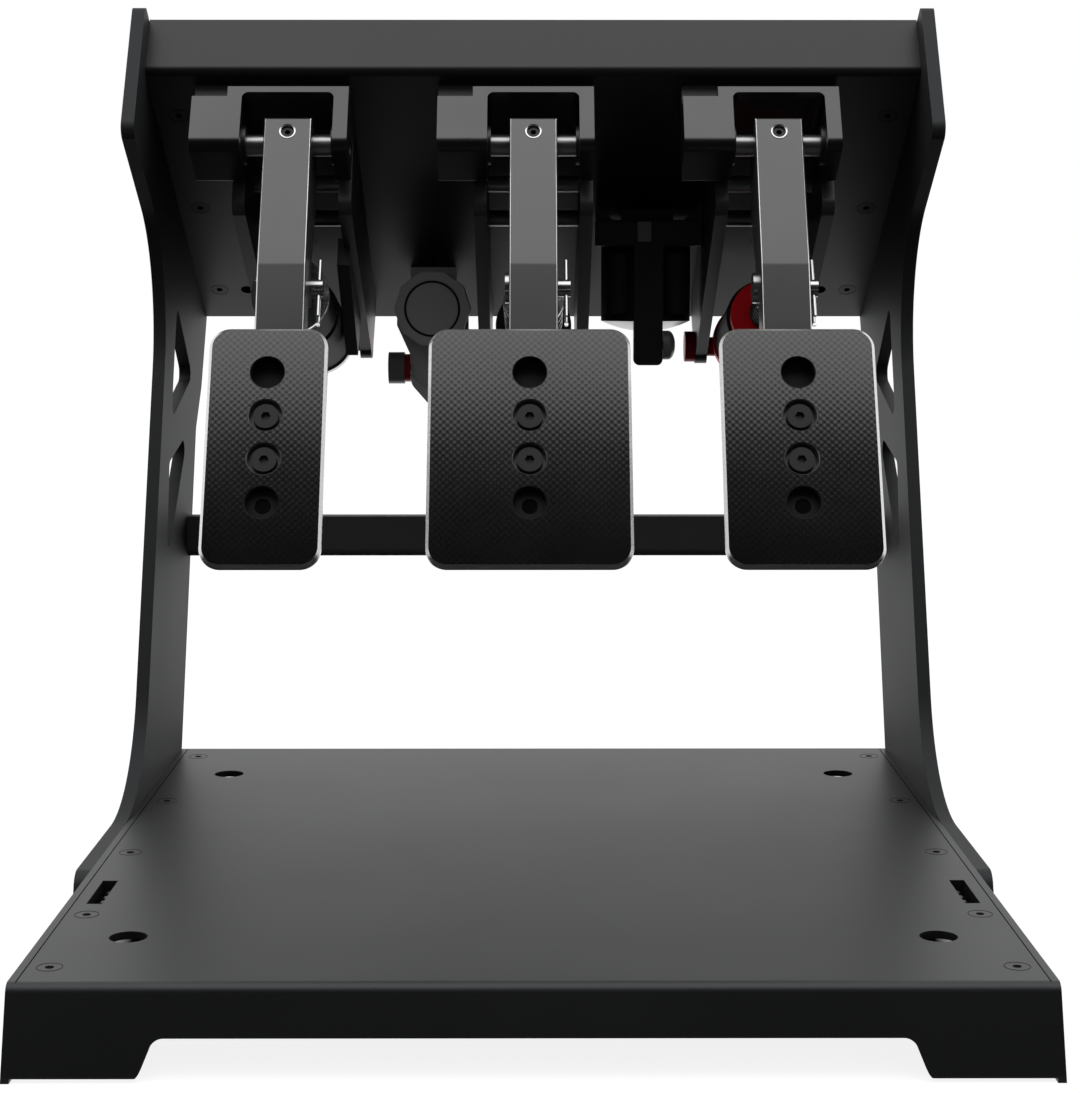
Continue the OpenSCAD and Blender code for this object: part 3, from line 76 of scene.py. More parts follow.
# Face plates, set from the photograph; the holes that hold a screw are counted from 0 at the top
FACE_H, FACE_EDGE, RIM_T, RIM_STEP = 0.1099, 0.0013, 0.0034, 0.003
FACE_X = {"clutch": -0.0005, "brake": -0.0016, "throttle": 0.0}
BORE_LIP, BLIND_FLOOR = 0.0004, 0.0006
SCREWED = (1, 2)
KNURL, KNURL_TONE = 0.0031, (0.90, 1.10)

# Small forms: the grub screw's countersink, as steps out from the screw and along it; the rubber rings and
# their washers; the painted shade in the gap round screw heads, whose gap has an outer and an inner radius, in their
# sockets and along seams
GRUB_STEPS = ((0.0001, 0.0003), (0.0001, -0.0001), (0.0008, -0.0003), (0.001, 0.0003))
RING_ROUND, RING_WAIST, WASHER_OUT, WASHER_ROUND = 0.001, 0.0022, 0.0007, 0.0003
MARK_LOW, MARK_HIGH, HEAD_GAP, SOCKET_R = -0.00002, 0.00008, (0.00465, 0.00450), 0.0017
SEAM_X, SEAM_Y, SEAM_HALF, SEAM_HIGH = 0.1770, (0.002, 0.378), 0.0002, 0.00006

# Where the finish of one solid changes, the ring of painted shade in the left motor disc's groove, and how far
# sideways the normals on an arm's broken edges point
DOME_Z, CLIP_Y, COLLAR_X = 0.24845, 0.1424, -0.0687
DISC_AT, GROOVE = (-0.053, 0.25438), (0.0135, 0.0147)
EDGE_BAND = (0.35, 0.95)

# Stage, light and camera
FLOOR_HALF, FLOOR_WHITE = 6.0, 0.86
SHADE_X, SHADE_FRONT, SHADE_BACK, SHADE_SOFT = 0.165, -0.19, 0.11, 0.02
CARD_HALF, CARD_Y, CARD_LOW, CARD_TOP, CARD_BACK = 3.0, -1.1, 0.002, 1.54, 0.315
BOX_SIZE, BOX_AT, BOX_GLOW = (3.0, 1.1), (0, -0.40, 1.6), 1.0
SKY = ((0.0, 0.55), (0.5, 0.7), (0.8, 1.0))  # height on the sky, level
LENS, SENSOR, NEAR = 72.46, 36, 0.05
CAMERA_AT = (0, -0.7268 - MID_Y, 0.2686)
CAMERA_DOWN, CAMERA_TURN = 6.87, -0.169


# Frames of reference: u runs back along the mounting plate, v stands up from its underside

def plate_frame():
    return Matrix.Translation((0, CEIL.y - MID_Y, CEIL.z)) @ Matrix.Rotation(-SLOPE, 4, "X")


def pivot_frame(x):
    return plate_frame() @ Matrix.Translation((x, PIVOT[0], PIVOT[1]))


def face_frame(x):
    return pivot_frame(x) @ Matrix.Translation((0, -FACE_U, -FACE_DROP)) @ Matrix.Rotation(FACE_TILT, 4, "X")


def strut_frame(x, travel):
    angle = math.atan2(CLEVIS[0], -CLEVIS[1]) + math.radians(travel / 2)
    return pivot_frame(x) @ Matrix.Translation((0, *CLEVIS)) @ Matrix.Rotation(angle, 4, "X")


# Materials

def new_material(name):
    mat = bpy.data.materials.new(name)
    mat.use_nodes = True
    tree = mat.node_tree
    shader = tree.nodes["Principled BSDF"]
    return mat, tree, shader


def add(tree, kind, **values):
    node = tree.nodes.new(kind)
    for key, value in values.items():
        if key in node.inputs:
            node.inputs[key].default_value = value
        else:
            setattr(node, key, value)
    return node


def math_node(tree, operation, a, b=None):
    node = tree.nodes.new("ShaderNodeMath")
    node.operation = operation
    for i, value in enumerate((a, b)):
        if value is None:
            continue
        if isinstance(value, (int, float)):
            node.inputs[i].default_value = value
        else:
            tree.links.new(value, node.inputs[i])
    return node.outputs[0]


def ramp(tree, source, stops):
    node = tree.nodes.new("ShaderNodeValToRGB")
    elements = node.color_ramp.elements
    while len(elements) < len(stops):
        elements.new(0.5)
    for element, (place, colour) in zip(elements, stops):
        element.position = place
        element.color = (*colour, 1) if len(colour) == 3 else colour
    tree.links.new(source, node.inputs[0])
    return node.outputs[0]


def grey(level, tint=0.0):
    return (level, level, level * (1 + tint))


def coated(name, base, rough, grain=900.0, bump=0.06, spread=0.12,
           metallic=0.0, specular=0.5, gloss=(1, 1, 1)):
    """Coated or anodised metal: fine grain in the bump, slow drift in colour and roughness."""
    mat, tree, shader = new_material(name)
    coords = add(tree, "ShaderNodeTexCoord").outputs["Object"]
    fine = add(tree, "ShaderNodeTexNoise", Scale=grain, Detail=2.0, Roughness=0.6)
    slow = add(tree, "ShaderNodeTexNoise", Scale=14.0, Detail=3.0, Roughness=0.5)
    for node in (fine, slow):
        tree.links.new(coords, node.inputs["Vector"])
    low = tuple(c * (1 - spread) for c in base)
    high = tuple(min(1, c * (1 + spread)) for c in base)
    tree.links.new(ramp(tree, slow.outputs["Fac"], [(0.15, low), (0.85, high)]), shader.inputs["Base Color"])
    level = ramp(tree, slow.outputs["Fac"], [(0.15, grey(rough * 0.96)), (0.85, grey(min(1, rough * 1.04)))])
    tree.links.new(level, shader.inputs["Roughness"])
    shader.inputs["Metallic"].default_value = metallic
    shader.inputs["Specular IOR Level"].default_value = specular
    shader.inputs["Specular Tint"].default_value = (*gloss, 1)
    lift = add(tree, "ShaderNodeBump", Strength=bump, Distance=0.0002)
    tree.links.new(fine.outputs["Fac"], lift.inputs["Height"])
    tree.links.new(lift.outputs["Normal"], shader.inputs["Normal"])
    return mat


def turned(name, base, rough):
    """Machined metal: fine tool marks across one axis."""
    mat, tree, shader = new_material(name)
    coords = add(tree, "ShaderNodeTexCoord").outputs["Object"]
    scale = add(tree, "ShaderNodeMapping", Scale=(60.0, 1400.0, 1400.0))
    tree.links.new(coords, scale.inputs["Vector"])
    marks = add(tree, "ShaderNodeTexNoise", Scale=1.0, Detail=2.0, Roughness=0.5)
    tree.links.new(scale.outputs["Vector"], marks.inputs["Vector"])
    low = tuple(c * 0.86 for c in base)
    tree.links.new(ramp(tree, marks.outputs["Fac"], [(0.3, low), (0.7, base)]), shader.inputs["Base Color"])
    level = ramp(tree, marks.outputs["Fac"], [(0.3, grey(rough * 0.85)), (0.7, grey(min(1, rough * 1.15)))])
    tree.links.new(level, shader.inputs["Roughness"])
    shader.inputs["Metallic"].default_value = 1.0
    lift = add(tree, "ShaderNodeBump", Strength=0.05, Distance=0.0001)
    tree.links.new(marks.outputs["Fac"], lift.inputs["Height"])
    tree.links.new(lift.outputs["Normal"], shader.inputs["Normal"])
    return mat


def rubbery(name, base, rough):
    """Matte moulded rubber or plastic with a fine pitted skin."""
    mat, tree, shader = new_material(name)
    coords = add(tree, "ShaderNodeTexCoord").outputs["Object"]
    pits = add(tree, "ShaderNodeTexVoronoi", Scale=1600.0)
    drift = add(tree, "ShaderNodeTexNoise", Scale=40.0, Detail=3.0)
    for node in (pits, drift):
        tree.links.new(coords, node.inputs["Vector"])
    low = tuple(c * 0.8 for c in base)
    high = tuple(min(1, c * 1.2) for c in base)
    tree.links.new(ramp(tree, drift.outputs["Fac"], [(0.3, low), (0.7, high)]), shader.inputs["Base Color"])
    tree.links.new(ramp(tree, drift.outputs["Fac"], [(0.2, grey(rough * 0.9)), (0.8, grey(rough))]),
                   shader.inputs["Roughness"])
    lift = add(tree, "ShaderNodeBump", Strength=0.15, Distance=0.0001)
    tree.links.new(pits.outputs["Distance"], lift.inputs["Height"])
    tree.links.new(lift.outputs["Normal"], shader.inputs["Normal"])
    return mat


def edged(name, base, rough, bright, metallic):
    """Anodised arm whose edges were machined bright afterwards."""
    mat = coated(name, base, rough, grain=1400.0, bump=0.03, spread=0.08)
    tree = mat.node_tree
    shader = tree.nodes["Principled BSDF"]
    normal = add(tree, "ShaderNodeTexCoord").outputs["Normal"]
    split = add(tree, "ShaderNodeSeparateXYZ")
    tree.links.new(normal, split.inputs[0])
    side = math_node(tree, "ABSOLUTE", split.outputs["X"])
    mask = math_node(tree, "MULTIPLY", math_node(tree, "GREATER_THAN", side, EDGE_BAND[0]),
                     math_node(tree, "LESS_THAN", side, EDGE_BAND[1]))
    blend(tree, mask, shader.inputs["Base Color"], bright)
    tree.links.new(ramp(tree, mask, [(0.0, grey(metallic)), (1.0, grey(1.0))]), shader.inputs["Metallic"])
    return mat


def knurled(name, base, rough):
    """Dark metal face with a fine diamond knurl: two sets of grooves across the plate's diagonals."""
    mat, tree, shader = new_material(name)
    coords = add(tree, "ShaderNodeTexCoord").outputs["UV"]
    split = add(tree, "ShaderNodeSeparateXYZ")
    tree.links.new(coords, split.inputs[0])
    shader.inputs["Metallic"].default_value = 1.0
    heights = []
    for sign in (1, -1):
        along = math_node(tree, "ADD", split.outputs["X"],
                          math_node(tree, "MULTIPLY", split.outputs["Y"], float(sign)))
        wave = math_node(tree, "SINE", math_node(tree, "MULTIPLY", along, 2 * math.pi / KNURL))
        heights.append(math_node(tree, "ADD", math_node(tree, "MULTIPLY", wave, 0.5), 0.5))
    diamond = math_node(tree, "MULTIPLY", math_node(tree, "ADD", *heights), 0.5)
    drift = add(tree, "ShaderNodeTexNoise", Scale=30.0, Detail=3.0)
    tree.links.new(add(tree, "ShaderNodeTexCoord").outputs["Object"], drift.inputs["Vector"])
    low, high = (tuple(c * tone for c in base) for tone in KNURL_TONE)
    tree.links.new(ramp(tree, diamond, [(0.15, low), (0.85, high)]), shader.inputs["Base Color"])
    tree.links.new(ramp(tree, drift.outputs["Fac"], [(0.25, grey(rough * 0.9)), (0.75, grey(rough * 1.1))]),
                   shader.inputs["Roughness"])
    lift = add(tree, "ShaderNodeBump", Strength=0.045, Distance=0.0003)
    tree.links.new(diamond, lift.inputs["Height"])
    tree.links.new(lift.outputs["Normal"], shader.inputs["Normal"])
    return mat


def split_off(mat, axis, limit, colour, rough, metallic):
    """Another finish on the part of a solid that lies below a limit along one axis."""
    tree = mat.node_tree
    shader = tree.nodes["Principled BSDF"]
    split = add(tree, "ShaderNodeSeparateXYZ")
    tree.links.new(add(tree, "ShaderNodeTexCoord").outputs["Object"], split.inputs[0])
    mask = math_node(tree, "LESS_THAN", split.outputs[axis], limit)
    blend(tree, mask, shader.inputs["Base Color"], colour)
    blend(tree, mask, shader.inputs["Roughness"], grey(rough))
    tree.links.new(ramp(tree, mask, [(0.0, grey(shader.inputs["Metallic"].default_value)), (1.0, grey(metallic))]),
                   shader.inputs["Metallic"])
    return mat


def groove_shade(mat):
    """Painted shade: a near-black ring over the groove of the left vibration motor's face."""
    tree = mat.node_tree
    split = add(tree, "ShaderNodeSeparateXYZ")
    tree.links.new(add(tree, "ShaderNodeTexCoord").outputs["Object"], split.inputs[0])
    squares = []
    for axis, middle in zip("XZ", DISC_AT):
        away = math_node(tree, "SUBTRACT", split.outputs[axis], middle)
        squares.append(math_node(tree, "MULTIPLY", away, away))
    reach = math_node(tree, "SQRT", math_node(tree, "ADD", *squares))
    mask = math_node(tree, "MULTIPLY", math_node(tree, "GREATER_THAN", reach, GROOVE[0]),
                     math_node(tree, "LESS_THAN", reach, GROOVE[1]))
    blend(tree, mask, tree.nodes["Principled BSDF"].inputs["Base Color"], grey(0.004))
    return mat


def blend(tree, mask, socket, colour):
    """Put a colour over what feeds a socket, where the mask is 1. The mix node's colour sockets go by number."""
    mix = tree.nodes.new("ShaderNodeMix")
    mix.data_type = "RGBA"
    tree.links.new(mask, mix.inputs["Factor"])
    tree.links.new(socket.links[0].from_socket, mix.inputs[6])
    mix.inputs[7].default_value = (*colour, 1)
    tree.links.new(mix.outputs[2], socket)


COOL = (0.92, 0.965, 1.0)  # tint of the powder coat's gloss
POWDER = coated("powder_black", grey(0.006, 0.04), 0.42, grain=1500.0, bump=0.06, gloss=COOL)
# Copies of the powder coat with painted light and shade: lighter on the upright plates (which are also rougher) and
# on the rear crossbar, darker on the mounting plate
POWDER_UPRIGHT_LIT = coated("powder_black_upright_lit", grey(0.009, 0.04), 0.60, grain=1500.0, bump=0.08, specular=0.42,
                        gloss=COOL)
POWDER_HUNG_SHADED = coated("powder_black_hung_shaded", grey(0.004, 0.04), 0.42, grain=1500.0, bump=0.05)
POWDER_BAR_LIT = coated("powder_black_bar_lit", grey(0.034, 0.04), 0.60, grain=1500.0, bump=0.08)
ANODISED = coated("anodised_black", grey(0.016, 0.03), 0.42, grain=2200.0, bump=0.05)
YOKE = coated("yoke_grey", grey(0.080, 0.02), 0.32, grain=2200.0, bump=0.05, metallic=1.0)
ARM = edged("anodised_grey", grey(0.100, 0.01), 0.28, grey(0.85), 0.6)
FACE = knurled("face_black", grey(0.115), 0.13)
# Painted shade: a near-black finish for the recesses of the face plates
BORE_SHADE = coated("bore_painted_shade", grey(0.004), 0.60, grain=2200.0, bump=0.04, specular=0.25)
BORE_WALL = coated("bore_wall", grey(0.10), 0.36, grain=2200.0, bump=0.04, metallic=0.8)
EDGE = turned("face_edge", grey(0.80), 0.30)
# Painted shade: near-black for the marks over screw gaps, sockets and seams
MARK_SHADE = coated("mark_painted_shade", grey(0.002), 0.9, grain=2500.0, bump=0.04, specular=0.05)
STEEL = turned("bright_steel", grey(0.62, 0.02), 0.24)
SHAFT = turned("shaft_steel", grey(0.42, 0.01), 0.34)
SPRING = turned("spring_steel", grey(0.10, 0.02), 0.34)
ALU = turned("bright_alu", grey(0.62, 0.02), 0.34)
TUBE_BLACK = coated("tube_black", grey(0.005, 0.04), 0.62, grain=2200.0, bump=0.04, specular=0.2)
TUBE_GREY = coated("tube_grey", grey(0.16, 0.02), 0.40, grain=2200.0, bump=0.04, metallic=0.4)
RED = coated("red_anodised", (0.56, 0.002, 0.009), 0.36, grain=2200.0, bump=0.04, metallic=0.4, specular=0.3)
PIN = coated("pin_red", (0.20, 0.002, 0.012), 0.40, grain=2200.0, bump=0.04, metallic=0.4, specular=0.3)
ELASTOMER = rubbery("elastomer", grey(0.014), 0.75)
SCREW = coated("screw_black", grey(0.022), 0.40, grain=2500.0, bump=0.05, metallic=0.5)
BUSHING = turned("bushing_dark", grey(0.08), 0.42)
BOARD = rubbery("board", (0.012, 0.06, 0.03), 0.45)
# The disc's groove carries a ring of painted shade
DISC = groove_shade(coated("disc_grey", grey(0.36, 0.01), 0.48, grain=2000.0, bump=0.05))
UNIT = split_off(rubbery("unit_black", grey(0.010), 0.42), "Z", DOME_Z, grey(0.55), 0.35, 1.0)
UNIT_GREY = coated("unit_grey", grey(0.32, 0.02), 0.50, grain=2000.0, bump=0.05)
BRACKET = split_off(coated("unit_bracket", grey(0.012), 0.45), "Y", CLIP_Y, grey(0.10), 0.45, 0.3)
KNOB = coated("knob_grey", grey(0.16, 0.01), 0.40, grain=2000.0, bump=0.05, metallic=0.4)
COLLARED = split_off(coated("knob_collared", (0.30, 0.004, 0.012), 0.36, grain=2000.0, bump=0.05, metallic=0.4),
                     "X", COLLAR_X, grey(0.16), 0.40, 0.4)

BY_SLOT = {
    "powder_black": POWDER, "anodised_black": ANODISED, "anodised_grey": ARM, "face_black": FACE,
    "bright_steel": STEEL, "spring_steel": SPRING, "bright_alu": ALU, "tube_grey": TUBE_GREY,
    "cap_red": RED, "pin_red": PIN, "elastomer": ELASTOMER, "screw_black": SCREW,
    "bushing_dark": BUSHING, "shaft_steel": SHAFT, "yoke_grey": YOKE, "board": BOARD, "unit_black": UNIT,
    "unit_bracket": BRACKET, "unit_grey": UNIT_GREY, "disc_grey": DISC, "knob_grey": KNOB,
}
# Nodes whose finish isn't their slot's, such as the coat that comes out rougher on the upright plates; the powder
# copies also carry painted light (lighter upright plates and crossbar) and painted shade (darker mounting plate)
BY_NODE = {
    "side_plate_left": POWDER_UPRIGHT_LIT, "side_plate_right": POWDER_UPRIGHT_LIT, "mounting_plate": POWDER_HUNG_SHADED,
    "rear_crossbar": POWDER_BAR_LIT, "haptic_left_knob": COLLARED, "throttle_preload_ring": RED,
    "clutch_damper": TUBE_BLACK, "brake_damper": TUBE_BLACK, "throttle_damper": TUBE_BLACK,
}
# Width of the broken edges, by material
BROKEN_EDGES = {
    "powder_black": 0.0005, "anodised_black": 0.0004, "anodised_grey": 0.0010, "yoke_grey": 0.0005,
    "unit_black": 0.0004, "unit_bracket": 0.0004, "unit_grey": 0.0004, "disc_grey": 0.0004, "knob_grey": 0.0004,
}
BEVEL_FROM, SHARP_FROM = math.radians(50), math.radians(24)


def break_edges(node, width):
    """Take the edge off a solid's sharp corners, so that they catch the light."""
    node.modifiers.new("weld", "WELD").merge_threshold = 1e-6
    bevel = node.modifiers.new("edges", "BEVEL")
    bevel.width = width
    bevel.segments = 2
    bevel.limit_method = "ANGLE"
    bevel.angle_limit = BEVEL_FROM
    normals = node.modifiers.new("flat_faces", "WEIGHTED_NORMAL")
    normals.mode = "FACE_AREA"
    normals.weight = 100
    normals.keep_sharp = True


for entry in frame["record"]["subparts"]:
    node = nodes[entry["node"]]
    node.data.materials.clear()
    node.data.materials.append(BY_NODE.get(entry["node"], BY_SLOT[entry["material_slot"]]))
    node.data.shade_smooth()
    node.data.set_sharp_from_angle(angle=SHARP_FROM)
    # On the top rails' long thin triangles a bevel would show as lines
    if entry["material_slot"] in BROKEN_EDGES and not entry["node"].startswith("top_rail"):
        break_edges(node, BROKEN_EDGES[entry["material_slot"]])


# Pieces

def add_piece(name, bm, matrix, body, materials, smooth=30):
    mesh = bpy.data.meshes.new(name)
    bm.normal_update()
    bm.to_mesh(mesh)
    bm.free()
    mesh.transform(matrix)
    for material in materials:
        mesh.materials.append(material)
    mesh.shade_smooth()
    mesh.set_sharp_from_angle(angle=math.radians(smooth))
    piece = bpy.data.objects.new(name, mesh)
    scene.collection.objects.link(piece)
    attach(piece, body)
    return piece


def corner_loop(width, height, radius, inset, steps=14):
    """Points (x, z) round a plate whose top edge is at z = 0, drawn in from its outline by inset."""
    points = []
    r = radius - inset
    for cx, cz, start in ((1, 0, 0), (-1, 0, 90), (-1, -1, 180), (1, -1, 270)):
        x = cx * (width / 2 - radius)
        z = -radius if cz == 0 else radius - height
        for k in range(steps + 1):
            angle = math.radians(start + 90 * k / steps)
            points.append((x + r * math.cos(angle), z + r * math.sin(angle)))
    return points


def ring_loop(z, r, steps=40):
    return [(r * math.cos(2 * math.pi * k / steps), z + r * math.sin(2 * math.pi * k / steps))
            for k in range(steps)]


def bridge(bm, a, b, slot):
    for i in range(len(a)):
        j = (i + 1) % len(a)
        face = bm.faces.new((a[i], a[j], b[j], b[i]))
        face.material_index = slot


def face_plate(name, x, width):
    """The pedal's face: knurled front, bright chamfer, thin rim with a step behind it, four holes."""
    bm = bmesh.new()
    # The third material is painted shade: near-black on the step behind the rim, the back and the walls of the open
    # holes
    materials = (FACE, EDGE, BORE_SHADE, BORE_WALL)
    knurl, bright, dark, screwed = range(len(materials))

    def loop(points, y):
        return [bm.verts.new((px, y, pz)) for px, pz in points]

    outer = loop(corner_loop(width, FACE_H, FACE_R, FACE_EDGE), 0)
    edge = loop(corner_loop(width, FACE_H, FACE_R, 0), FACE_EDGE)
    rim = loop(corner_loop(width, FACE_H, FACE_R, 0), RIM_T)
    step = loop(corner_loop(width, FACE_H, FACE_R, RIM_STEP), RIM_T)
    back = loop(corner_loop(width, FACE_H, FACE_R, RIM_STEP), FACE_T)
    for a, b, slot in ((outer, edge, bright), (edge, rim, bright), (rim, step, dark), (step, back, dark)):
        bridge(bm, a, b, slot)
    front_edges, back_edges = [], []
    for i in range(4):
        z = -FACE_FIRST - i * FACE_PITCH
        lip = loop(ring_loop(z, BORE_R + BORE_LIP), 0)
        wall = loop(ring_loop(z, BORE_R), BORE_LIP)
        front_edges.append(lip)
        side = screwed if i in SCREWED else dark
        bridge(bm, wall, lip, side)
        if i == 0:
            floor = loop(ring_loop(z, BORE_R), FACE_T - BLIND_FLOOR)
            bridge(bm, floor, wall, side)
            bm.faces.new(floor).material_index = dark
            continue
        seat = loop(ring_loop(z, BORE_R), BORE_H)
        inner = loop(ring_loop(z, HOLE_R), BORE_H)
        through = loop(ring_loop(z, HOLE_R), FACE_T)
        for a, b, slot in ((seat, wall, side), (inner, seat, side), (through, inner, dark)):
            bridge(bm, a, b, slot)
        back_edges.append(through)

    def fill(rim_loop, holes, slot):
        edges = []
        for ring in [rim_loop] + holes:
            edges += [bm.edges.get((ring[i], ring[(i + 1) % len(ring)])) for i in range(len(ring))]
        made = bmesh.ops.triangle_fill(bm, use_beauty=True, use_dissolve=False, edges=edges)
        for item in made["geom"]:
            if isinstance(item, bmesh.types.BMFace):
                item.material_index = slot

    fill(outer, front_edges, knurl)
    fill(back, back_edges, dark)
    bmesh.ops.recalc_face_normals(bm, faces=bm.faces)
    uv = bm.loops.layers.uv.new("face")
    for face in bm.faces:
        for corner in face.loops:
            corner[uv].uv = (corner.vert.co.x, corner.vert.co.z)
    piece = add_piece(name, bm, face_frame(x), name.split("_")[0] + "_pedal", materials)
    return piece


def sweep(bm, path, radius, sides=12):
    """A round wire along a list of points, closed at both ends."""
    rings = []
    for i, point in enumerate(path):
        way = (path[min(i + 1, len(path) - 1)] - path[max(i - 1, 0)]).normalized()
        out = Vector((point.x, 0, point.z))
        out = (out - way * out.dot(way)).normalized()
        side = way.cross(out)
        rings.append([bm.verts.new(point + radius * (math.cos(a) * out + math.sin(a) * side))
                      for a in (2 * math.pi * k / sides for k in range(sides))])
    for a, b in zip(rings, rings[1:]):
        bridge(bm, a, b, 0)
    bm.faces.new(rings[0])
    bm.faces.new(rings[-1])
    bmesh.ops.recalc_face_normals(bm, faces=bm.faces)


def coil_spring(pedal):
    """A round wire wound from the rod's collar to the damper; its two ends run straight along the rod."""
    x, travel, _ = PEDALS[pedal]
    coil_r, wire_r = COILS[pedal]
    bm = bmesh.new()
    per_turn = 40
    steps = TURNS * per_turn
    rise = SPRING_L - 4 * wire_r
    path = [Vector((coil_r, 0, 0))]
    for i in range(steps + 1):
        angle = 2 * math.pi * TURNS * i / steps
        path.append(Vector((coil_r * math.cos(angle), 2 * wire_r + rise * i / steps, coil_r * math.sin(angle))))
    path.append(Vector((coil_r, SPRING_L, 0)))
    sweep(bm, path, wire_r)
    place = strut_frame(x, travel) @ Matrix.Translation((0, COLLAR_END + FREE_GAP, 0))
    piece = add_piece(pedal + "_coil", bm, place, "frame", (SPRING,), 60)
    finish_soft(piece, pedal + "_spring")


def finish_soft(piece, node):
    """A spring or stack stands for its node, which it hides, and gets a mesh of its own."""
    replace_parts(piece, node)
    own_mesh(piece)


def elastomer_stack():
    """Turned rubber rings with a waist, and thin steel washers between them."""
    x, travel, _ = PEDALS["brake"]
    bm = bmesh.new()
    ring_t = (SPRING_L - (RINGS - 1) * WASHER_T) / RINGS
    bore = ROD_R + FREE_GAP
    sides, waist_steps = 48, 8

    def revolve(profile, slot):
        loops = [[bm.verts.new((r * math.cos(a), y, r * math.sin(a)))
                  for a in (2 * math.pi * k / sides for k in range(sides))] for r, y in profile]
        for a, b in zip(loops, loops[1:] + loops[:1]):
            bridge(bm, a, b, slot)

    for i in range(RINGS):
        y = i * (ring_t + WASHER_T)
        profile = [(bore, y), (RING_R - RING_ROUND, y), (RING_R, y + RING_ROUND)]
        for k in range(waist_steps + 1):
            angle = math.radians(180 * k / waist_steps)
            profile.append((RING_R - RING_WAIST * math.sin(angle), y + ring_t / 2 - RING_WAIST * math.cos(angle)))
        profile += [(RING_R, y + ring_t - RING_ROUND), (RING_R - RING_ROUND, y + ring_t), (bore, y + ring_t)]
        revolve(profile, 0)
        if i < RINGS - 1:
            y += ring_t
            rim = RING_R + WASHER_OUT
            revolve([(bore, y), (rim - WASHER_ROUND, y), (rim, y + WASHER_ROUND), (rim, y + WASHER_T - WASHER_ROUND),
                     (rim - WASHER_ROUND, y + WASHER_T), (bore, y + WASHER_T)], 1)
    bmesh.ops.recalc_face_normals(bm, faces=bm.faces)
    place = strut_frame(x, travel) @ Matrix.Translation((0, COLLAR_END + FREE_GAP, 0))
    piece = add_piece("brake_stack", bm, place, "frame", (ELASTOMER, STEEL), 40)
    finish_soft(piece, "brake_elastomers")


def grub_ring(pedal):
    """The bright countersink round the arm's grub screw."""
    bm = bmesh.new()
    loops = [[bm.verts.new((px, y, pz)) for px, pz in ring_loop(0, GRUB_R + out)] for out, y in GRUB_STEPS]
    for a, b in zip(loops, loops[1:] + loops[:1]):
        bridge(bm, a, b, 0)
    bmesh.ops.recalc_face_normals(bm, faces=bm.faces)
    place = (pivot_frame(PEDALS[pedal][0]) @ Matrix.Translation((0, -ARM_FRONT, 0))
             @ Matrix.Rotation(ARM_LEAN, 4, "X"))
    add_piece(pedal + "_grub_ring", bm, place, pedal + "_pedal", (STEEL,))


def shade_marks():
    """Painted shade: thin near-black sheets over the gap round each countersunk head, its hexagon socket and the
    seams along the base plate.
    """
    bm = bmesh.new()

    def prism(outlines, place, low, high):
        """A thin closed solid between two heights; a second outline is its hole."""
        rings = [[bm.verts.new(place @ Vector((x, y, z))) for x, y in outline]
                 for outline, z in [(o, z) for o in outlines for z in (low, high)]]
        if len(outlines) == 1:
            bm.faces.new(rings[0])
            bm.faces.new(rings[1])
            bridge(bm, rings[0], rings[1], 0)
        else:
            for a, b in ((0, 1), (1, 3), (3, 2), (2, 0)):
                bridge(bm, rings[a], rings[b], 0)

    def mark(place):
        prism([ring_loop(0, r) for r in HEAD_GAP], place, MARK_LOW, MARK_HIGH)
        prism([ring_loop(0, SOCKET_R, 6)], place, MARK_LOW, MARK_HIGH)

    def mark_under(x, u):
        mark(plate_frame() @ Matrix.Translation((x, u, 0)) @ Matrix.Rotation(math.pi, 4, "X"))

    near, far = (y - MID_Y for y in SEAM_Y)
    for side in (-1, 1):
        for y in RAIL_SCREWS:
            mark(Matrix.Translation((side * EDGE_X, y - MID_Y, BASE_H)))
        for u in PLATE_SCREWS:
            mark_under(side * EDGE_X, u)
        left, right = side * SEAM_X - SEAM_HALF, side * SEAM_X + SEAM_HALF
        prism([[(left, near), (right, near), (right, far), (left, far)]],
              Matrix.Translation((0, 0, BASE_H)), MARK_LOW, SEAM_HIGH)
    mark_under(*UNIT_SCREW)
    bmesh.ops.recalc_face_normals(bm, faces=bm.faces)
    add_piece("shade_marks", bm, Matrix(), "frame", (MARK_SHADE,))


for pedal, (x, _, width) in PEDALS.items():
    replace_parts(face_plate(pedal + "_face", x + FACE_X[pedal], width), pedal + "_face_plate")
    grub_ring(pedal)
coil_spring("clutch")
coil_spring("throttle")
elastomer_stack()
shade_marks()


# Stage, light and camera

def seen_rays(tree):
    """1 for the rays that show the background: the camera's, and those in metal and glass."""
    path = add(tree, "ShaderNodeLightPath").outputs
    seen = math_node(tree, "MAXIMUM", path["Is Camera Ray"], path["Is Glossy Ray"])
    return math_node(tree, "MAXIMUM", seen, path["Is Transmission Ray"])


def stage_plane(name, corners, mat):
    mesh = bpy.data.meshes.new(name)
    mesh.from_pydata(corners, [], [(0, 1, 2, 3)])
    mesh.materials.append(mat)
    plane = bpy.data.objects.new(name, mesh)
    scene.collection.objects.link(plane)
    return plane


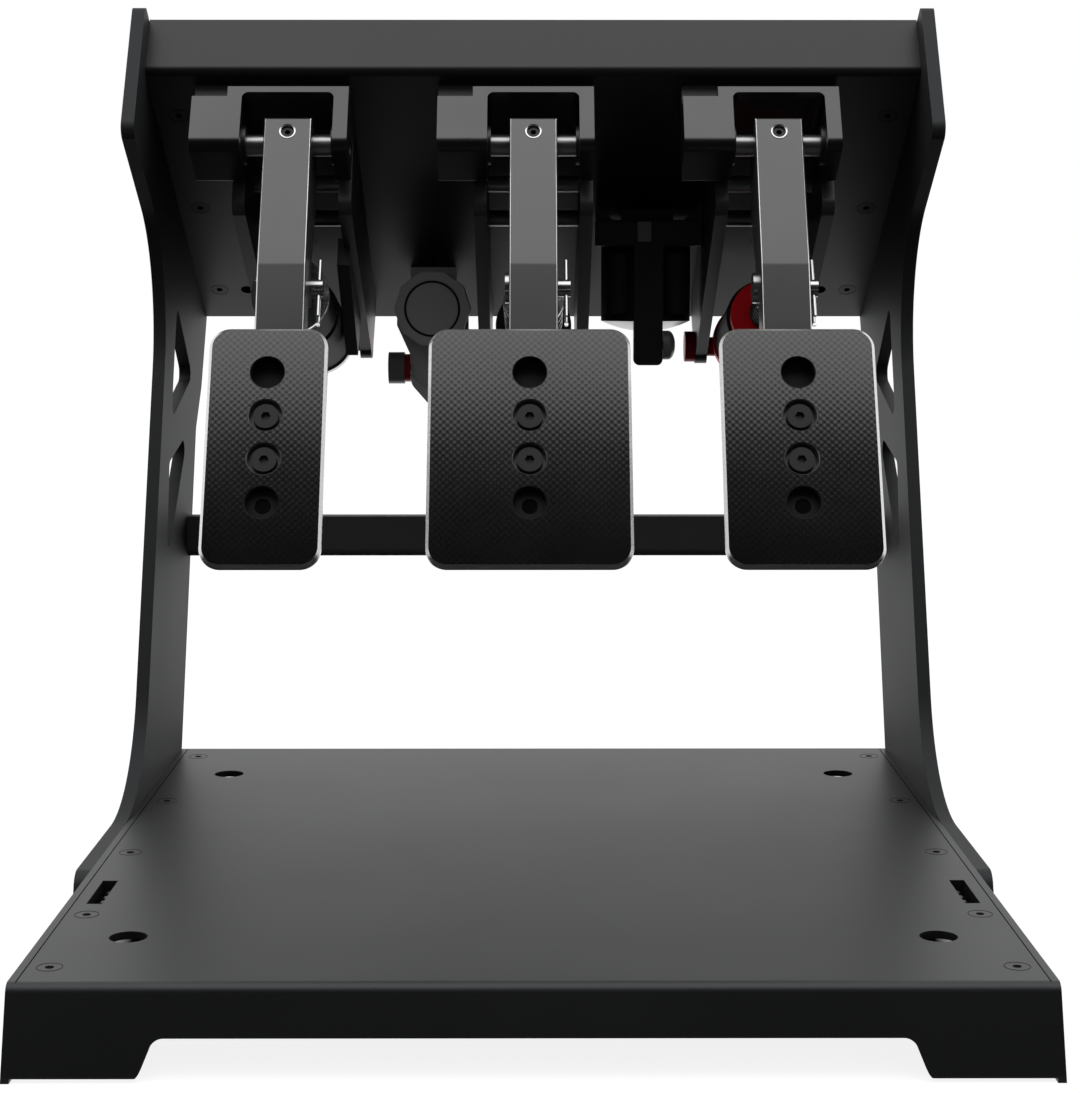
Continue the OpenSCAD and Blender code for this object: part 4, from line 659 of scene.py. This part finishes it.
def stage_floor():
    """A white floor that runs into the white background. It keeps the object's shadow, and under the base,
    where its own white would shine through the holes, it carries a painted shadow: no glow and a near-black colour."""
    mat, tree, shader = new_material("floor")
    speckle = add(tree, "ShaderNodeTexNoise", Scale=3.0, Detail=2.0)
    tree.links.new(ramp(tree, speckle.outputs["Fac"], [(0.3, grey(0.20)), (0.7, grey(0.21))]),
                   shader.inputs["Base Color"])
    shader.inputs["Roughness"].default_value = 1.0
    shader.inputs["Specular IOR Level"].default_value = 0.0
    shader.inputs["Emission Color"].default_value = (1, 1, 1, 1)
    split = add(tree, "ShaderNodeSeparateXYZ")
    tree.links.new(add(tree, "ShaderNodeTexCoord").outputs["Object"], split.inputs[0])

    def past(a, b):
        return math_node(tree, "DIVIDE", math_node(tree, "SUBTRACT", a, b), SHADE_SOFT)

    beside = past(math_node(tree, "ABSOLUTE", split.outputs["X"]), SHADE_X)
    before = past(SHADE_FRONT, split.outputs["Y"])
    behind = past(split.outputs["Y"], SHADE_BACK)
    outside = math_node(tree, "MAXIMUM", math_node(tree, "MAXIMUM", beside, before), behind)
    lit = ramp(tree, outside, [(0.0, grey(0.0)), (1.0, grey(1.0))])
    blend(tree, ramp(tree, outside, [(0.0, grey(1.0)), (1.0, grey(0.0))]), shader.inputs["Base Color"], grey(0.01))
    glow = math_node(tree, "MULTIPLY", seen_rays(tree), FLOOR_WHITE)
    tree.links.new(math_node(tree, "MULTIPLY", glow, lit), shader.inputs["Emission Strength"])
    half = FLOOR_HALF
    stage_plane("floor", [(-half, -half, 0), (half, -half, 0), (half, half, 0), (-half, half, 0)], mat)


def dark_cards():
    """The unlit room and floor on the driver's side: seen in reflections alone, they take no light away. The ground
    card runs on under the object to behind the base, where it is painted shade seen in reflections.
    """
    mat, tree, shader = new_material("dark_card")
    weave = add(tree, "ShaderNodeTexNoise", Scale=40.0, Detail=2.0)
    tree.links.new(ramp(tree, weave.outputs["Fac"], [(0.3, grey(0.012)), (0.7, grey(0.018))]),
                   shader.inputs["Base Color"])
    shader.inputs["Roughness"].default_value = 1.0
    shader.inputs["Specular IOR Level"].default_value = 0.0
    half, y, low, top, back = CARD_HALF, CARD_Y, CARD_LOW, CARD_TOP, CARD_BACK
    wall = stage_plane("dark_wall", [(-half, y, low), (half, y, low), (half, y, top), (-half, y, top)], mat)
    ground = stage_plane("dark_ground", [(-half, y, low), (half, y, low), (half, back, low), (-half, back, low)], mat)
    for card in (wall, ground):
        card.visible_camera = card.visible_diffuse = card.visible_shadow = False


def soft_box():
    """A large soft light overhead, a little towards the driver."""
    data = bpy.data.lights.new("soft_box", "AREA")
    data.shape = "RECTANGLE"
    data.size, data.size_y = BOX_SIZE
    data.energy = BOX_GLOW * math.pi * data.size * data.size_y
    lamp = bpy.data.objects.new("soft_box", data)
    lamp.location = BOX_AT
    scene.collection.objects.link(lamp)


def world_light():
    """White all round; the light itself comes mostly from above."""
    world = bpy.data.worlds.new("studio")
    scene.world = world
    world.use_nodes = True
    tree = world.node_tree
    split = add(tree, "ShaderNodeSeparateXYZ")
    tree.links.new(add(tree, "ShaderNodeTexCoord").outputs["Generated"], split.inputs[0])
    room = tree.nodes["Background"]
    tree.links.new(ramp(tree, split.outputs["Z"], [(height, grey(level)) for height, level in SKY]),
                   room.inputs["Color"])
    white = add(tree, "ShaderNodeBackground", Color=(1, 1, 1, 1), Strength=1.0)
    choose = add(tree, "ShaderNodeMixShader")
    tree.links.new(seen_rays(tree), choose.inputs[0])
    tree.links.new(room.outputs[0], choose.inputs[1])
    tree.links.new(white.outputs[0], choose.inputs[2])
    tree.links.new(choose.outputs[0], tree.nodes["World Output"].inputs["Surface"])


def photo_camera():
    data = bpy.data.cameras.new("photo")
    data.sensor_fit = "AUTO"
    data.sensor_width = SENSOR
    data.lens = LENS
    data.clip_start = NEAR
    camera = bpy.data.objects.new("photo", data)
    camera.location = CAMERA_AT
    camera.rotation_euler = (math.radians(90 - CAMERA_DOWN), 0, math.radians(CAMERA_TURN))
    scene.collection.objects.link(camera)
    scene.camera = camera


stage_floor()
dark_cards()
soft_box()
world_light()
photo_camera()
scene.view_settings.view_transform = "Standard"
